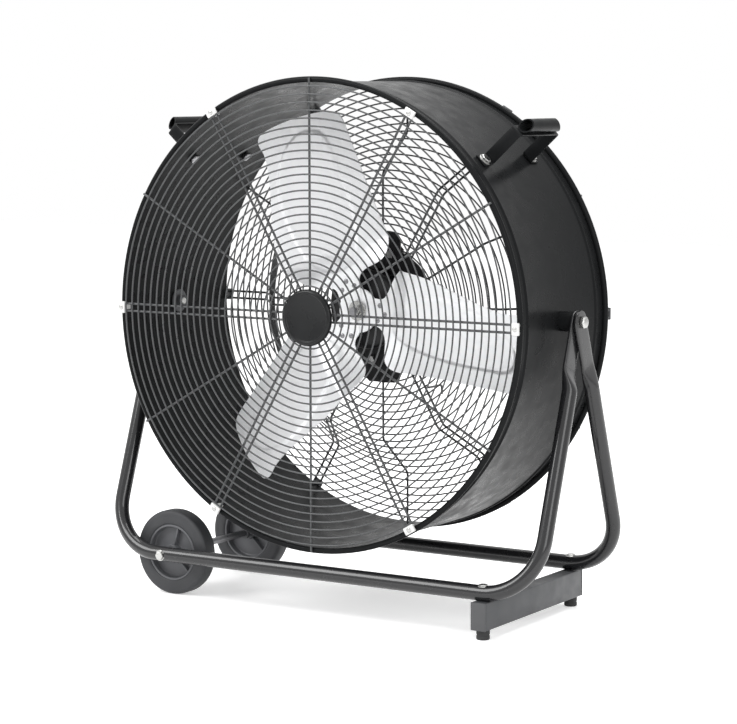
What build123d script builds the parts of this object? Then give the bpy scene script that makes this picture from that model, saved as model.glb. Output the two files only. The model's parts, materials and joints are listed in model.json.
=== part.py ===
from build123d import *
from math import atan, atan2, cos, degrees, hypot, pi, radians, sin, tan
import os

# Drum fan on a wheeled tube stand, millimetres.
# X to the right seen from the front, Y to the back, Z up.
# The origin is on the floor under the middle of the drum; the air leaves towards -Y.

# ---- driving dimensions ----
AXIS_Z = 502.0            # height of the drum axis and of the tilt pivots
RIM_R = 395.0             # outer radius over the rolled beads
WALL_R = 387.0            # outer radius of the sheet wall
DRUM_SIDES = 48           # the large circles of the drum have this many sides
WALL = 2.0                # sheet thickness
BEAD_R = 5.0              # radius of the rolled bead at each end
HALF_DEPTH = 147.5        # middle of the drum to a bead's centre
SWAGE_Y = 118.0           # stiffening swage, from the middle of the drum
SWAGE_HEIGHT = 2.5        # the swage stands this far out of the wall
SWAGE_HALF = 5.0          # half the width of the swage
BEAD_BEVEL = 3.0          # the bead's outer edge is cut back by this much
BEAD_STEP = 0.1           # the wall rises to the bead over this length

SPOKE = 4.0               # spoke wire of the guards
RING = 2.8                # ring wire of the guards
RING_COUNT = 26
RING_FIRST_R = 52.0
RING_PITCH = 13.1
PAIR_SHIFT = 6.25         # a paired spoke stands this far beside its angle
GUARD_R = 393.0           # the spokes end on the bead
FRONT_SPOKE_START = 22.0  # radii at which the spokes start
REAR_SPOKE_START = 34.0

DISH_DEPTH = 81.0         # the rear guard's middle stands this far inside its edge
DISH_INNER_R = 232.0
DISH_OUTER_R = 300.0

BADGE_R = 47.0
BADGE_DEPTH = 8.5
BADGE_LIP = 4.0
BADGE_RECESS = 2.0
BADGE_SIDES = 20

CLIP_LOW_R = 381.3
CLIP_HIGH_R = 394.0
CLIP_WIDTH = 20.0
CLIP_DEPTH = 4.5
CLIP_LEG_HALF = 4.0       # the clip's leg passes between two paired spokes

BLADE_COUNT = 3
BLADE_ANGLE = 110.0       # where the first blade points, from +X towards +Z
BLADE_R = 345.0
BLADE_SHEET = 2.0
BLADE_NECK_Y = -7.5
BLADE_PITCH = 21.8        # degrees between the blade and the plane of rotation
BLADE_SET = -13.5         # the pitched part stands this far in front of the neck
TWIST_START = 60.0        # radii between which the flat neck turns into the pitched blade
TWIST_END = 112.0
TWIST_COLUMNS = 3         # flats across each half of the twist
NECK_LEFT = -28.0
NECK_RIGHT = 18.0
SPIDER_T = 4.0
SPIDER_R = 38.0
HUB_FLANGE_R = 30.0
HUB_FLANGE = 5.0
HUB_SLEEVE_R = 19.0
HUB_WASHER_R = 17.0
HUB_NUT_R = 13.0
HUB_NUT = 10.0
SHAFT_END = 18.0          # the shaft reaches this far before the blade necks

MOTOR_R = 68.0
MOTOR_FRONT_Y = 13.5
NOSE_Y = 8.5
NOSE_R = 24.0
SHIELD_FLANGE = 12.0
SHIELD_BEVEL = 7.0
RIB_COUNT = 12
RIB_HEIGHT = 4.0
RIB_WIDTH = 4.0
SHAFT_R = 7.0
RUNNING_FIT = 0.06
SHAFT_SIDES = 12          # the shaft, pins and small bores have this many sides
BOLT_SIDES = 6            # the same for bolts

PLATE_T = 3.0
PLATE_R = 105.0
STRAP_HALF_LENGTH = 130.0
STRAP_WIDTH = 75.0
STRAP_CORNER = 12.0
CLAMP_HALF_LENGTH = 112.0
PLATE_BOLT_X = 20.0
PLATE_BOLT_Z = 92.4
PLATE_BOLT_R = 3.9
PLATE_HEAD_R = 7.5
PLATE_HEAD = 5.0
PLATE_SIDES = 24

HOOK_X = 89.0
LOOP_HOOK = (38.0, 44.0, 18.0, 14.0)     # height over the axis, reach, drop, return
PLAIN_HOOK = (-135.0, 42.0, 16.0, 0.0)

SWITCH_W = 70.0
SWITCH_H = 96.0
SWITCH_D = 40.0
KNOB_R = 17.0
KNOB_DEPTH = 16.0
KNOB_SPINDLE_R = 4.0
KNOB_SKIRT = 5.0
KNOB_GRIP = 9.0
SWITCH_CORNER = 7.0
SWITCH_EDGE = 4.0
SPINDLE_BORE = 12.0
SPINDLE_REACH = 10.0
KNOB_SIDES = 16
GLAND_HEX_R = 11.0
GLAND_HEX = 6.0
GLAND_NECK_R = 8.5
GLAND_NECK = 9.0
GLAND_BORE_R = 4.0

HANDLE_ANGLE = 42.0
HANDLE_Y = -8.0           # middle of each handle along the drum
GRIP_R = 11.0
GRIP_WALL = 2.0
GRIP_SIDES = 12
GRIP_AT_R = 471.5
GRIP_SLANT = 17.0         # each end of the grip is cut back by this much at its top
STRAP_T = 3.0
STRAP_BEND = 7.0
LEG_WIDTH = 22.0
LEG_HALF = 66.0           # outer faces of the two legs from the handle's middle
FOOT_END = 90.0
HANDLE_BOLT_Y = 77.5
HANDLE_BOLT_R = 4.0
HANDLE_HEAD_R = 9.0
HANDLE_HEAD = 6.0
FOOT_GAP = 0.2            # the handle's feet clear the curved wall by this much

TUBE_R = 12.7
TUBE_WALL = 2.0
TUBE_SIDES = 12
TUBE_BORE_SIDES = 6       # the hidden bore is coarser than the outside
LEG_X = 421.0             # tube centre of each upright
STAND_Y = 151.0           # the bottom tubes stand this far before and behind the pivots
TUBE_Z = 75.0             # height of the bottom tubes' centre
BEND_R = 95.0
BEND_STEPS = 5            # straight steps round each bend
FLAT_T = 6.0              # thickness of a flattened tube end
FLAT_W = 38.0
FLAT_GAP = 0.4            # between the front and the rear tube's flat ends
FLAT_END = 76.0           # the flattened part ends here, below the pivot
ROUND_START = 118.0       # the tube is round again from here down
PIVOT_R = 6.0
SPACER_R = 16.5
PIVOT_HEAD_R = 10.5
PIVOT_HEAD = 7.0
PIVOT_DOME_R = 8.5
PIVOT_DOME = 2.5
PIVOT_WASHER_R = 20.0
PIVOT_NUT = 8.0
PIVOT_END = 14.0          # the shank reaches this far inside the wall
WASHER_T = 3.0
HEAD_GAP = 0.3
SEAT_GAP = 1.2            # flat nuts stand this far off the curved wall

FOOT_BAR_X = 327.0
FOOT_BAR_W = 28.0
FOOT_BAR_LOW = 16.0
FOOT_BAR_HALF = 166.0
FOOT_BAR_WALL = 2.5
FOOT_BAR_EDGE = 2.0
RUBBER_FOOT_R = 11.0
SEAT_FLAT = 2.0           # the tube is pressed flat by this much under a bolt head
FOOT_BOLT_R = 4.0
FOOT_BOLT_HEAD_R = 7.5
FOOT_BOLT_HEAD = 4.0
CAP_T = 2.5
CAP_PLUG = 3.0

WHEEL_X = -309.0
WHEEL_R = 74.0            # also the height of the axle
WHEEL_W = 32.0
WHEEL_Y = 114.0           # middle of each wheel, before and behind the pivots
AXLE_R = 6.0
AXLE_FIT = 0.08
TREAD_SIDES = 24
SHOULDER = 4.0
HUB_R = 49.0
HUB_RIM = 4.5
HUB_BOSS_R = 13.5
HUB_SIDES = 12
WEB_HALF = 3.0
RIB_AT_R = 29.0           # middle of each rib of the wheel
RIB_LENGTH = 33.0
RIB_T = 3.0
AXLE_BOLT_R = 3.9
AXLE_HOLE_R = 5.1
AXLE_HEAD_R = 8.0
AXLE_HEAD = 5.0
AXLE_THREAD = 12.0        # depth of the tapped hole
COLLAR_R = 10.0
COLLAR_LENGTH = 8.0
COLLAR_GAP = 0.5
COLLAR_FIT = 0.02
BOLT_CLEARANCE = 0.1

# ---- derived places ----
SPOKE_Y = HALF_DEPTH + BEAD_R                 # spokes lie on the bead
RING_Y = SPOKE_Y + SPOKE                      # rings lie on the spokes, outside
GUARD_Y = RING_Y + RING                       # outer face of the rings
PANEL_Y = SPOKE_Y - DISH_DEPTH                # front of the spokes in the rear dish
PANEL_BACK_Y = PANEL_Y + SPOKE + RING
LEG_SLOPE = atan2(STAND_Y, AXIS_Z - TUBE_Z)
LEG_LENGTH = hypot(STAND_Y, AXIS_Z - TUBE_Z)
FLAT_INNER_X = 410.0                          # inner face of the front tube's flat end
FOOT_BAR_HIGH = TUBE_Z - TUBE_R
RING_RADII = [RING_FIRST_R + RING_PITCH * i for i in range(RING_COUNT)]
CENTRE_COUNT = len([r for r in RING_RADII if r < DISH_INNER_R + RING])
PAIR_ANGLES = [60 * i for i in range(6)]
SINGLE_ANGLES = [60 * i + 30 for i in range(6)]


def facing(y, x=0.0, z=AXIS_Z):
    """Plane square to the drum axis; local X is +X, local Y is +Z, its normal points forward."""
    return Plane(origin=(x, y, z), x_dir=(1, 0, 0), z_dir=(0, -1, 0))


def radial(angle, shift=0.0, y=0.0):
    """Plane through the drum axis; local X is the radius at this angle, local Y is +Y."""
    a = radians(angle)
    origin = (-sin(a) * shift, y, AXIS_Z + cos(a) * shift)
    return Plane(origin=origin, x_dir=(cos(a), 0, sin(a)), z_dir=(-sin(a), 0, cos(a)))


def outward(angle, r, y=0.0):
    """Plane square to the radius at this angle; local X is the tangent, local Y is +-Y."""
    a = radians(angle)
    origin = (cos(a) * r, y, AXIS_Z + sin(a) * r)
    return Plane(origin=origin, x_dir=(0, 1, 0), z_dir=(cos(a), 0, sin(a)))


def polar(r, angle):
    return (r * cos(radians(angle)), r * sin(radians(angle)))


def save(part, name):
    part.label = name
    export_step(part, f"parts/{name}.step")
    print(f"{name}: {len(part.solids())} solid(s), {part.volume / 1000:.1f} cm3")


# ---- drum ----
def make_drum_shell():
    """Rolled sheet drum: a bead at each end, two swages, holes for pivots and handles."""
    end = HALF_DEPTH + BEAD_R
    bead_start = HALF_DEPTH - BEAD_R
    rear_half = (
        (SWAGE_Y - SWAGE_HALF, WALL_R),
        (SWAGE_Y, WALL_R + SWAGE_HEIGHT),
        (SWAGE_Y + SWAGE_HALF, WALL_R),
        (bead_start - BEAD_STEP, WALL_R),
        (bead_start, RIM_R),
        (end - BEAD_BEVEL, RIM_R),
        (end, RIM_R - BEAD_BEVEL),
    )
    front_half = tuple((-y, r) for y, r in reversed(rear_half))
    with BuildPart() as shell:
        for y, r in front_half + rear_half:
            with BuildSketch(facing(y)):
                RegularPolygon(r, DRUM_SIDES)
        loft(ruled=True)
        with BuildSketch(facing(-end)):
            RegularPolygon(WALL_R - WALL, DRUM_SIDES)
        extrude(amount=-2 * end, mode=Mode.SUBTRACT)
        with BuildSketch(Plane.YZ):
            with Locations((0, AXIS_Z)):
                RegularPolygon(PIVOT_R + RUNNING_FIT, SHAFT_SIDES, major_radius=False)
        extrude(amount=RIM_R, both=True, mode=Mode.SUBTRACT)
        for angle in (HANDLE_ANGLE, 180 - HANDLE_ANGLE):
            with BuildSketch(outward(angle, WALL_R - 3 * WALL, HANDLE_Y)):
                with Locations((HANDLE_BOLT_Y, 0), (-HANDLE_BOLT_Y, 0)):
                    RegularPolygon(HANDLE_BOLT_R + RUNNING_FIT, BOLT_SIDES)
            extrude(amount=6 * WALL, mode=Mode.SUBTRACT)
    return shell.part


# ---- guards ----
def ring_sides(r):
    """Large rings have more straight sides than small ones."""
    if r < 135:
        return 10
    return 12 if r < 265 else 16


def make_ring(r, y, side):
    """One guard ring of three-sided wire: flat against the spokes, its ridge turned away."""
    sides = ring_sides(r)
    slope = degrees(atan(cos(pi / sides) / 2))
    with BuildPart() as ring:
        with BuildSketch(facing(y)):
            RegularPolygon(r + RING / 2, sides)
        extrude(amount=-side * 1.2 * RING, taper=slope)
        with BuildSketch(facing(y)):
            RegularPolygon(r - RING / 2, sides)
        extrude(amount=-side * 1.2 * RING, taper=-slope, mode=Mode.SUBTRACT)
    return ring.part


def rear_ring_y(r):
    """Rear rings lie behind the spokes: on the flat middle, the sloping dish wall or the edge."""
    if r < DISH_INNER_R + RING:
        return PANEL_Y + SPOKE
    if r < DISH_OUTER_R:
        slope = DISH_DEPTH / (DISH_OUTER_R - DISH_INNER_R)
        return PANEL_Y + SPOKE + (r + RING / 2 + SPOKE / 2 - DISH_INNER_R) * slope
    return RING_Y


def make_front_spokes():
    """Six pairs of spokes and six single ones, straight from the middle to the bead."""
    inner = FRONT_SPOKE_START
    length = GUARD_R - inner
    with BuildPart() as spokes:
        with BuildSketch(facing(-RING_Y)):
            for angle in PAIR_ANGLES:
                for shift in (-PAIR_SHIFT, PAIR_SHIFT):
                    x, z = polar(inner + length / 2, angle)
                    across = (-sin(radians(angle)) * shift, cos(radians(angle)) * shift)
                    with Locations((x + across[0], z + across[1])):
                        Rectangle(length, SPOKE, rotation=angle)
            for angle in SINGLE_ANGLES:
                with Locations(polar(inner + length / 2, angle)):
                    Rectangle(length, SPOKE, rotation=angle)
        extrude(amount=-SPOKE)
    return spokes.part


def make_rear_spokes():
    """The same spokes for the rear guard, each bent twice into the dish."""
    inner = REAR_SPOKE_START
    with BuildPart() as spokes:
        for angle in PAIR_ANGLES + SINGLE_ANGLES:
            for shift in (-PAIR_SHIFT, PAIR_SHIFT) if angle in PAIR_ANGLES else (0.0,):
                with BuildSketch(radial(angle, shift)):
                    with BuildLine():
                        Polyline(
                            (inner, PANEL_Y),
                            (DISH_INNER_R, PANEL_Y),
                            (DISH_OUTER_R, SPOKE_Y),
                            (GUARD_R, SPOKE_Y),
                            (GUARD_R, SPOKE_Y + SPOKE),
                            (DISH_OUTER_R - SPOKE / 2, SPOKE_Y + SPOKE),
                            (DISH_INNER_R - SPOKE / 2, PANEL_Y + SPOKE),
                            (inner, PANEL_Y + SPOKE),
                            close=True,
                        )
                    make_face()
                extrude(amount=SPOKE / 2, both=True)
    return spokes.part


def make_badge():
    """Bare dished disc that closes the middle of the front guard."""
    with BuildPart() as badge:
        with BuildSketch(facing(-GUARD_Y)):
            RegularPolygon(BADGE_R, BADGE_SIDES)
        extrude(amount=BADGE_DEPTH)
        chamfer(badge.faces().sort_by(Axis.Y)[0].edges(), BADGE_LIP)
        with BuildSketch(facing(-GUARD_Y - BADGE_DEPTH)):
            RegularPolygon(BADGE_R - 2 * BADGE_LIP, BADGE_SIDES)
        extrude(amount=-BADGE_RECESS, mode=Mode.SUBTRACT)
    return badge.part


def make_clips(side):
    """Clips that hold the paired spokes at the rim; side is -1 front, +1 rear."""
    with BuildPart() as clips:
        for angle in PAIR_ANGLES:
            with BuildSketch(radial(angle)):
                with Locations(((CLIP_LOW_R + CLIP_HIGH_R) / 2, side * (RING_Y + CLIP_DEPTH / 2))):
                    Rectangle(CLIP_HIGH_R - CLIP_LOW_R, CLIP_DEPTH)
            extrude(amount=CLIP_WIDTH / 2, both=True)
            with BuildSketch(radial(angle)):
                with Locations((CLIP_LOW_R + 1.5, side * (RING_Y - 7))):
                    Rectangle(3, 14)
            extrude(amount=CLIP_LEG_HALF, both=True)
    return clips.part


# ---- motor and its mount ----
def make_motor_plate(front_y, half_length, round_r):
    """Pressed mount plate: an upright strap, with a disc where round_r isn't 0, and four holes."""
    with BuildPart() as plate:
        with BuildSketch(facing(front_y)) as outline:
            Rectangle(STRAP_WIDTH, 2 * half_length)
            chamfer(outline.vertices(), STRAP_CORNER)
            if round_r:
                RegularPolygon(round_r, PLATE_SIDES)
            with GridLocations(2 * PLATE_BOLT_X, 2 * PLATE_BOLT_Z, 2, 2):
                RegularPolygon(PLATE_BOLT_R + RUNNING_FIT, BOLT_SIDES, mode=Mode.SUBTRACT)
        extrude(amount=-PLATE_T)
    return plate.part


def make_plate_bolts():
    """Four bolts through both mount plates, hexagon head behind and nut in front."""
    front = PANEL_Y - PLATE_T
    back = PANEL_BACK_Y + PLATE_T
    with BuildPart() as bolts:
        for y in (back, front - PLATE_HEAD):
            with BuildSketch(facing(y)):
                with GridLocations(2 * PLATE_BOLT_X, 2 * PLATE_BOLT_Z, 2, 2):
                    RegularPolygon(PLATE_HEAD_R, BOLT_SIDES)
            extrude(amount=-PLATE_HEAD)
        with BuildSketch(facing(front)):
            with GridLocations(2 * PLATE_BOLT_X, 2 * PLATE_BOLT_Z, 2, 2):
                RegularPolygon(PLATE_BOLT_R, BOLT_SIDES)
        extrude(amount=-(back - front))
    return bolts.part


def make_motor_body():
    """Motor can, seated on the mount plate, with cooling ribs along it."""
    front = MOTOR_FRONT_Y + SHIELD_FLANGE
    back = PANEL_Y - PLATE_T
    with BuildPart() as motor:
        with BuildSketch(facing(front)):
            RegularPolygon(MOTOR_R - RIB_HEIGHT, RIB_COUNT)
            with PolarLocations(MOTOR_R - RIB_HEIGHT, RIB_COUNT):
                Rectangle(2 * RIB_HEIGHT, RIB_WIDTH)
        extrude(amount=front - back)
    return motor.part


def make_motor_shield():
    """Front end shield with its bearing nose; the shaft runs in it."""
    with BuildPart() as shield:
        with BuildSketch(facing(MOTOR_FRONT_Y)):
            RegularPolygon(MOTOR_R, RIB_COUNT)
        extrude(amount=-SHIELD_FLANGE)
        chamfer(shield.faces().sort_by(Axis.Y)[0].edges(), SHIELD_BEVEL)
        with BuildSketch(facing(MOTOR_FRONT_Y)):
            RegularPolygon(NOSE_R, SHAFT_SIDES)
        extrude(amount=MOTOR_FRONT_Y - NOSE_Y)
        with BuildSketch(facing(NOSE_Y)):
            RegularPolygon(SHAFT_R + RUNNING_FIT, SHAFT_SIDES, major_radius=False)
        extrude(amount=NOSE_Y - MOTOR_FRONT_Y - SHIELD_FLANGE, mode=Mode.SUBTRACT)
    return shield.part


def make_switch_box():
    """Closed box behind the mount plate for the speed switch, with the bore of its spindle."""
    front = PANEL_BACK_Y + PLATE_T
    with BuildPart() as box:
        with BuildSketch(facing(front)) as outline:
            Rectangle(SWITCH_W, SWITCH_H)
            chamfer(outline.vertices(), SWITCH_CORNER)
        extrude(amount=-SWITCH_D)
        chamfer(box.faces().sort_by(Axis.Y)[-1].edges(), SWITCH_EDGE)
        with BuildSketch(facing(front + SWITCH_D)):
            RegularPolygon(KNOB_SPINDLE_R + RUNNING_FIT, SHAFT_SIDES, major_radius=False)
        extrude(amount=SPINDLE_BORE, mode=Mode.SUBTRACT)
    return box.part


def make_switch_knob():
    """Rotary speed knob: a round skirt with a raised grip bar and a spindle into the box."""
    skirt = PANEL_BACK_Y + PLATE_T + SWITCH_D + HEAD_GAP
    with BuildPart() as knob:
        with BuildSketch(facing(skirt)):
            RegularPolygon(KNOB_R, KNOB_SIDES)
        extrude(amount=-KNOB_SKIRT)
        with BuildSketch(facing(skirt + KNOB_SKIRT)) as grip:
            Rectangle(KNOB_GRIP, 2 * KNOB_R - 4)
            chamfer(grip.vertices(), KNOB_GRIP / 3)
        extrude(amount=-(KNOB_DEPTH - KNOB_SKIRT))
        with BuildSketch(facing(skirt)):
            RegularPolygon(KNOB_SPINDLE_R, SHAFT_SIDES)
        extrude(amount=SPINDLE_REACH)
    return knob.part


def make_cable_gland():
    """Empty cable inlet under the switch box."""
    y = PANEL_BACK_Y + PLATE_T + SWITCH_D / 2
    top = AXIS_Z - SWITCH_H / 2
    with BuildPart() as gland:
        steps = ((top, GLAND_HEX_R, 6, GLAND_HEX), (top - GLAND_HEX, GLAND_NECK_R, 8, GLAND_NECK))
        for z, across, sides, length in steps:
            with BuildSketch(Plane((0, y, z))):
                RegularPolygon(across, sides)
                RegularPolygon(GLAND_BORE_R, 8, major_radius=False, mode=Mode.SUBTRACT)
            extrude(amount=-length)
    return gland.part


def make_cord_hooks():
    """Two bent wire hooks behind the rear guard, one open loop and one turned down."""
    start = PANEL_BACK_Y + SPOKE / 2
    with BuildPart() as hooks:
        for z, reach, drop, back in (LOOP_HOOK, PLAIN_HOOK):
            end = start + reach
            with BuildSketch(Plane(origin=(HOOK_X, 0, AXIS_Z + z), x_dir=(0, 1, 0), z_dir=(1, 0, 0))):
                with Locations((start + reach / 2, 0)):
                    Rectangle(reach + SPOKE, SPOKE)
                with Locations((end, -drop / 2)):
                    Rectangle(SPOKE, drop + SPOKE)
                with Locations((end - back / 2, -drop)):
                    Rectangle(back + SPOKE, SPOKE)
            extrude(amount=SPOKE / 2, both=True)
    return hooks.part


# ---- fan rotor ----
def blade_plane(angle, y):
    """Plane square to the drum axis with local Y along the blade."""
    a = radians(angle)
    return Plane(origin=(0, y, AXIS_Z), x_dir=(sin(a), 0, -cos(a)), z_dir=(0, -1, 0))


def blade_point(angle, u, v, lift):
    """Point of the pressing at u across and v along the blade, lifted this far forwards."""
    a = radians(angle)
    turned = min(max((v - TWIST_START) / (TWIST_END - TWIST_START), 0), 1)
    y = BLADE_NECK_Y - lift + turned * (BLADE_SET + u * tan(radians(BLADE_PITCH)))
    return (u * sin(a) + v * cos(a), y, AXIS_Z - u * cos(a) + v * sin(a))


def blade_flats():
    """Corners of the flats: one for the neck, one for the blade, triangles for the twist."""
    reach = 100.0
    middle = (TWIST_START + TWIST_END) / 2
    flats = [
        [(-reach, 0), (reach, 0), (reach, TWIST_START), (-reach, TWIST_START)],
        [(-reach, TWIST_END), (reach, TWIST_END), (reach, BLADE_R + 15), (-reach, BLADE_R + 15)],
    ]
    for low, high in ((TWIST_START, middle), (middle, TWIST_END)):
        for i in range(-TWIST_COLUMNS, TWIST_COLUMNS):
            left, right = i * reach / TWIST_COLUMNS, (i + 1) * reach / TWIST_COLUMNS
            flats.append([(left, low), (right, low), (right, high)])
            flats.append([(left, low), (right, high), (left, high)])
    return flats


def make_blade(angle):
    """Pressed sheet blade: flat neck turning into the pitched blade, root ears, raised panel."""
    with BuildPart() as panel:
        for flat in blade_flats():
            corners = [blade_point(angle, u, v, 2 * BLADE_SHEET) for u, v in flat]
            extrude(Face(Wire.make_polygon(corners)), amount=1.6 * BLADE_SHEET, dir=(0, 1, 0))
        with BuildSketch(blade_plane(angle, BLADE_NECK_Y)):
            with BuildLine():
                Polyline(
                    (-34, 72), (-50, 106), (-60, 150), (-64, 200), (-60, 240), (-48, 276),
                    (-26, 308), (8, 324), (42, 308), (46, 250), (50, 195), (47, 140),
                    (39, 104), (24, 72),
                    close=True,
                )
            make_face()
        extrude(amount=80, both=True, mode=Mode.INTERSECT)
    with BuildPart() as blade:
        for flat in blade_flats():
            corners = [blade_point(angle, u, v, BLADE_SHEET / 2) for u, v in flat]
            extrude(Face(Wire.make_polygon(corners)), amount=BLADE_SHEET, dir=(0, 1, 0))
        with BuildSketch(blade_plane(angle, BLADE_NECK_Y)):
            with BuildLine():
                Polyline(
                    (NECK_RIGHT, 22), (NECK_RIGHT, 50), (36, 63), (62, 64), (80, 69), (89, 84),
                    (89, 104), (85, 130), (80, 200), (76, 270), (74, 318), (68, 331), (55, 339),
                    (20, BLADE_R), (-20, BLADE_R), (-55, 340), (-66, 333), (-69, 320),
                    (-63, 300), (-68, 255), (-80, 205), (-91, 155), (-94, 118), (-92, 88),
                    (-80, 67), (-62, 59), (-42, 54), (NECK_LEFT, 46), (NECK_LEFT, 22), (-5, 14),
                    close=True,
                )
            make_face()
        extrude(amount=80, both=True, mode=Mode.INTERSECT)
        add(panel.part)
    return blade.part


def make_spider():
    """Plate between the hub and the blades: a disc with an arm behind each neck."""
    aside = (NECK_LEFT + NECK_RIGHT) / 2
    with BuildPart() as spider:
        with BuildSketch(facing(BLADE_NECK_Y + BLADE_SHEET / 2)):
            RegularPolygon(SPIDER_R, PLATE_SIDES)
            for i in range(BLADE_COUNT):
                angle = BLADE_ANGLE - 120 * i
                x, z = polar(SPIDER_R, angle)
                with Locations((x + aside * sin(radians(angle)), z - aside * cos(radians(angle)))):
                    Rectangle(2 * SPIDER_R, NECK_RIGHT - NECK_LEFT - 6, rotation=angle)
            RegularPolygon(SHAFT_R + RUNNING_FIT, SHAFT_SIDES, major_radius=False, mode=Mode.SUBTRACT)
        extrude(amount=-SPIDER_T)
    return spider.part


def make_fan_hub():
    """Cast hub behind the spider, clamped on the shaft."""
    front = BLADE_NECK_Y + BLADE_SHEET / 2 + SPIDER_T
    back = NOSE_Y - 1
    with BuildPart() as hub:
        sleeve = front + HUB_FLANGE
        for y, r, length in ((front, HUB_FLANGE_R, HUB_FLANGE), (sleeve, HUB_SLEEVE_R, back - sleeve)):
            with BuildSketch(facing(y)):
                RegularPolygon(r, SHAFT_SIDES)
                RegularPolygon(SHAFT_R + RUNNING_FIT, SHAFT_SIDES, major_radius=False, mode=Mode.SUBTRACT)
            extrude(amount=-length)
    return hub.part


def make_hub_nut():
    """Washer and hexagon nut on the shaft's front end."""
    front = BLADE_NECK_Y - BLADE_SHEET / 2
    with BuildPart() as nut:
        steps = ((front, HUB_WASHER_R, 12, WASHER_T), (front - WASHER_T, HUB_NUT_R, 6, HUB_NUT))
        for y, r, sides, length in steps:
            with BuildSketch(facing(y)):
                RegularPolygon(r, sides)
                RegularPolygon(SHAFT_R + RUNNING_FIT, SHAFT_SIDES, major_radius=False, mode=Mode.SUBTRACT)
            extrude(amount=length)
    return nut.part


def make_motor_shaft():
    """Motor shaft from inside the end shield to just before the nut."""
    with BuildPart() as shaft:
        with BuildSketch(facing(BLADE_NECK_Y - SHAFT_END)):
            RegularPolygon(SHAFT_R, SHAFT_SIDES)
        extrude(amount=-(MOTOR_FRONT_Y + SHIELD_FLANGE - BLADE_NECK_Y + SHAFT_END))
    return shaft.part


# ---- handles ----
def make_handle(angle):
    """Bent strap handle: two feet on the wall, two legs, and a bar that carries the grip."""
    foot_r = WALL_R + FOOT_GAP
    bar_r = GRIP_AT_R - GRIP_R
    bend = STRAP_BEND
    slip = STRAP_BEND - STRAP_T
    with BuildPart() as handle:
        with BuildSketch(radial(angle, 0, HANDLE_Y)):
            with BuildLine():
                Polyline(
                    (foot_r, 0),
                    (foot_r, LEG_HALF),
                    (bar_r - bend, LEG_HALF),
                    (bar_r, LEG_HALF - bend),
                    (bar_r, 0),
                    close=True,
                )
            make_face()
            with BuildLine():
                Polyline(
                    (foot_r, 0),
                    (foot_r, LEG_HALF - STRAP_T),
                    (bar_r - STRAP_T - slip, LEG_HALF - STRAP_T),
                    (bar_r - STRAP_T, LEG_HALF - STRAP_T - slip),
                    (bar_r - STRAP_T, 0),
                    close=True,
                )
            make_face(mode=Mode.SUBTRACT)
            mirror(about=Plane.XZ)
        extrude(amount=LEG_WIDTH / 2, both=True)
        with BuildSketch(outward(angle, foot_r, HANDLE_Y)):
            middle = (LEG_HALF - STRAP_T + FOOT_END) / 2
            with Locations((middle, 0), (-middle, 0)):
                Rectangle(FOOT_END - LEG_HALF + STRAP_T, LEG_WIDTH)
            with Locations((HANDLE_BOLT_Y, 0), (-HANDLE_BOLT_Y, 0)):
                RegularPolygon(HANDLE_BOLT_R + RUNNING_FIT, BOLT_SIDES, mode=Mode.SUBTRACT)
        extrude(amount=STRAP_T)
    return handle.part


def make_grip(angle):
    """Rolled sheet grip with slanted open ends, lying on the strap's bar."""
    low = GRIP_AT_R - GRIP_R
    high = GRIP_AT_R + GRIP_R
    half = LEG_HALF - STRAP_BEND
    turn = angle + 180 / GRIP_SIDES
    with BuildPart() as grip:
        with BuildSketch(facing(HANDLE_Y)):
            with Locations(polar(GRIP_AT_R, angle)):
                RegularPolygon(GRIP_R, GRIP_SIDES, major_radius=False, rotation=turn)
                RegularPolygon(
                    GRIP_R - GRIP_WALL, GRIP_SIDES, major_radius=False, rotation=turn, mode=Mode.SUBTRACT
                )
        extrude(amount=half, both=True)
        with BuildSketch(radial(angle, 0, HANDLE_Y)):
            for end in (-1, 1):
                with BuildLine():
                    Polyline(
                        (low, end * half),
                        (high + 1, end * (half - GRIP_SLANT)),
                        (high + 1, end * (half + 1)),
                        (low, end * (half + 1)),
                        close=True,
                    )
                make_face()
        extrude(amount=2 * GRIP_R, both=True, mode=Mode.SUBTRACT)
    return grip.part


def make_handle_bolts():
    """Hexagon bolts through the handle feet and the drum wall, each with its nut inside."""
    head_r = WALL_R + FOOT_GAP + STRAP_T
    nut_r = WALL_R - WALL - SEAT_GAP
    steps = (
        (head_r, HANDLE_HEAD_R, HANDLE_HEAD),
        (head_r, HANDLE_BOLT_R, nut_r - head_r),
        (nut_r, HANDLE_HEAD_R, -HANDLE_HEAD),
    )
    with BuildPart() as bolts:
        for angle in (HANDLE_ANGLE, 180 - HANDLE_ANGLE):
            for r, across, length in steps:
                with BuildSketch(outward(angle, r, HANDLE_Y)):
                    with Locations((HANDLE_BOLT_Y, 0), (-HANDLE_BOLT_Y, 0)):
                        RegularPolygon(across, BOLT_SIDES)
                extrude(amount=length)
    return bolts.part


# ---- tilt pivots ----
def make_pivot_spacers():
    """Round spacers between the drum wall and the stand's flat tube ends."""
    with BuildPart() as spacers:
        for side in (-1, 1):
            with BuildSketch(Plane.YZ.offset(side * WALL_R)):
                with Locations((0, AXIS_Z)):
                    RegularPolygon(SPACER_R, SHAFT_SIDES)
                    RegularPolygon(PIVOT_R + RUNNING_FIT, SHAFT_SIDES, major_radius=False, mode=Mode.SUBTRACT)
            extrude(amount=side * (FLAT_INNER_X - HEAD_GAP - WALL_R))
    return spacers.part


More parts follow.
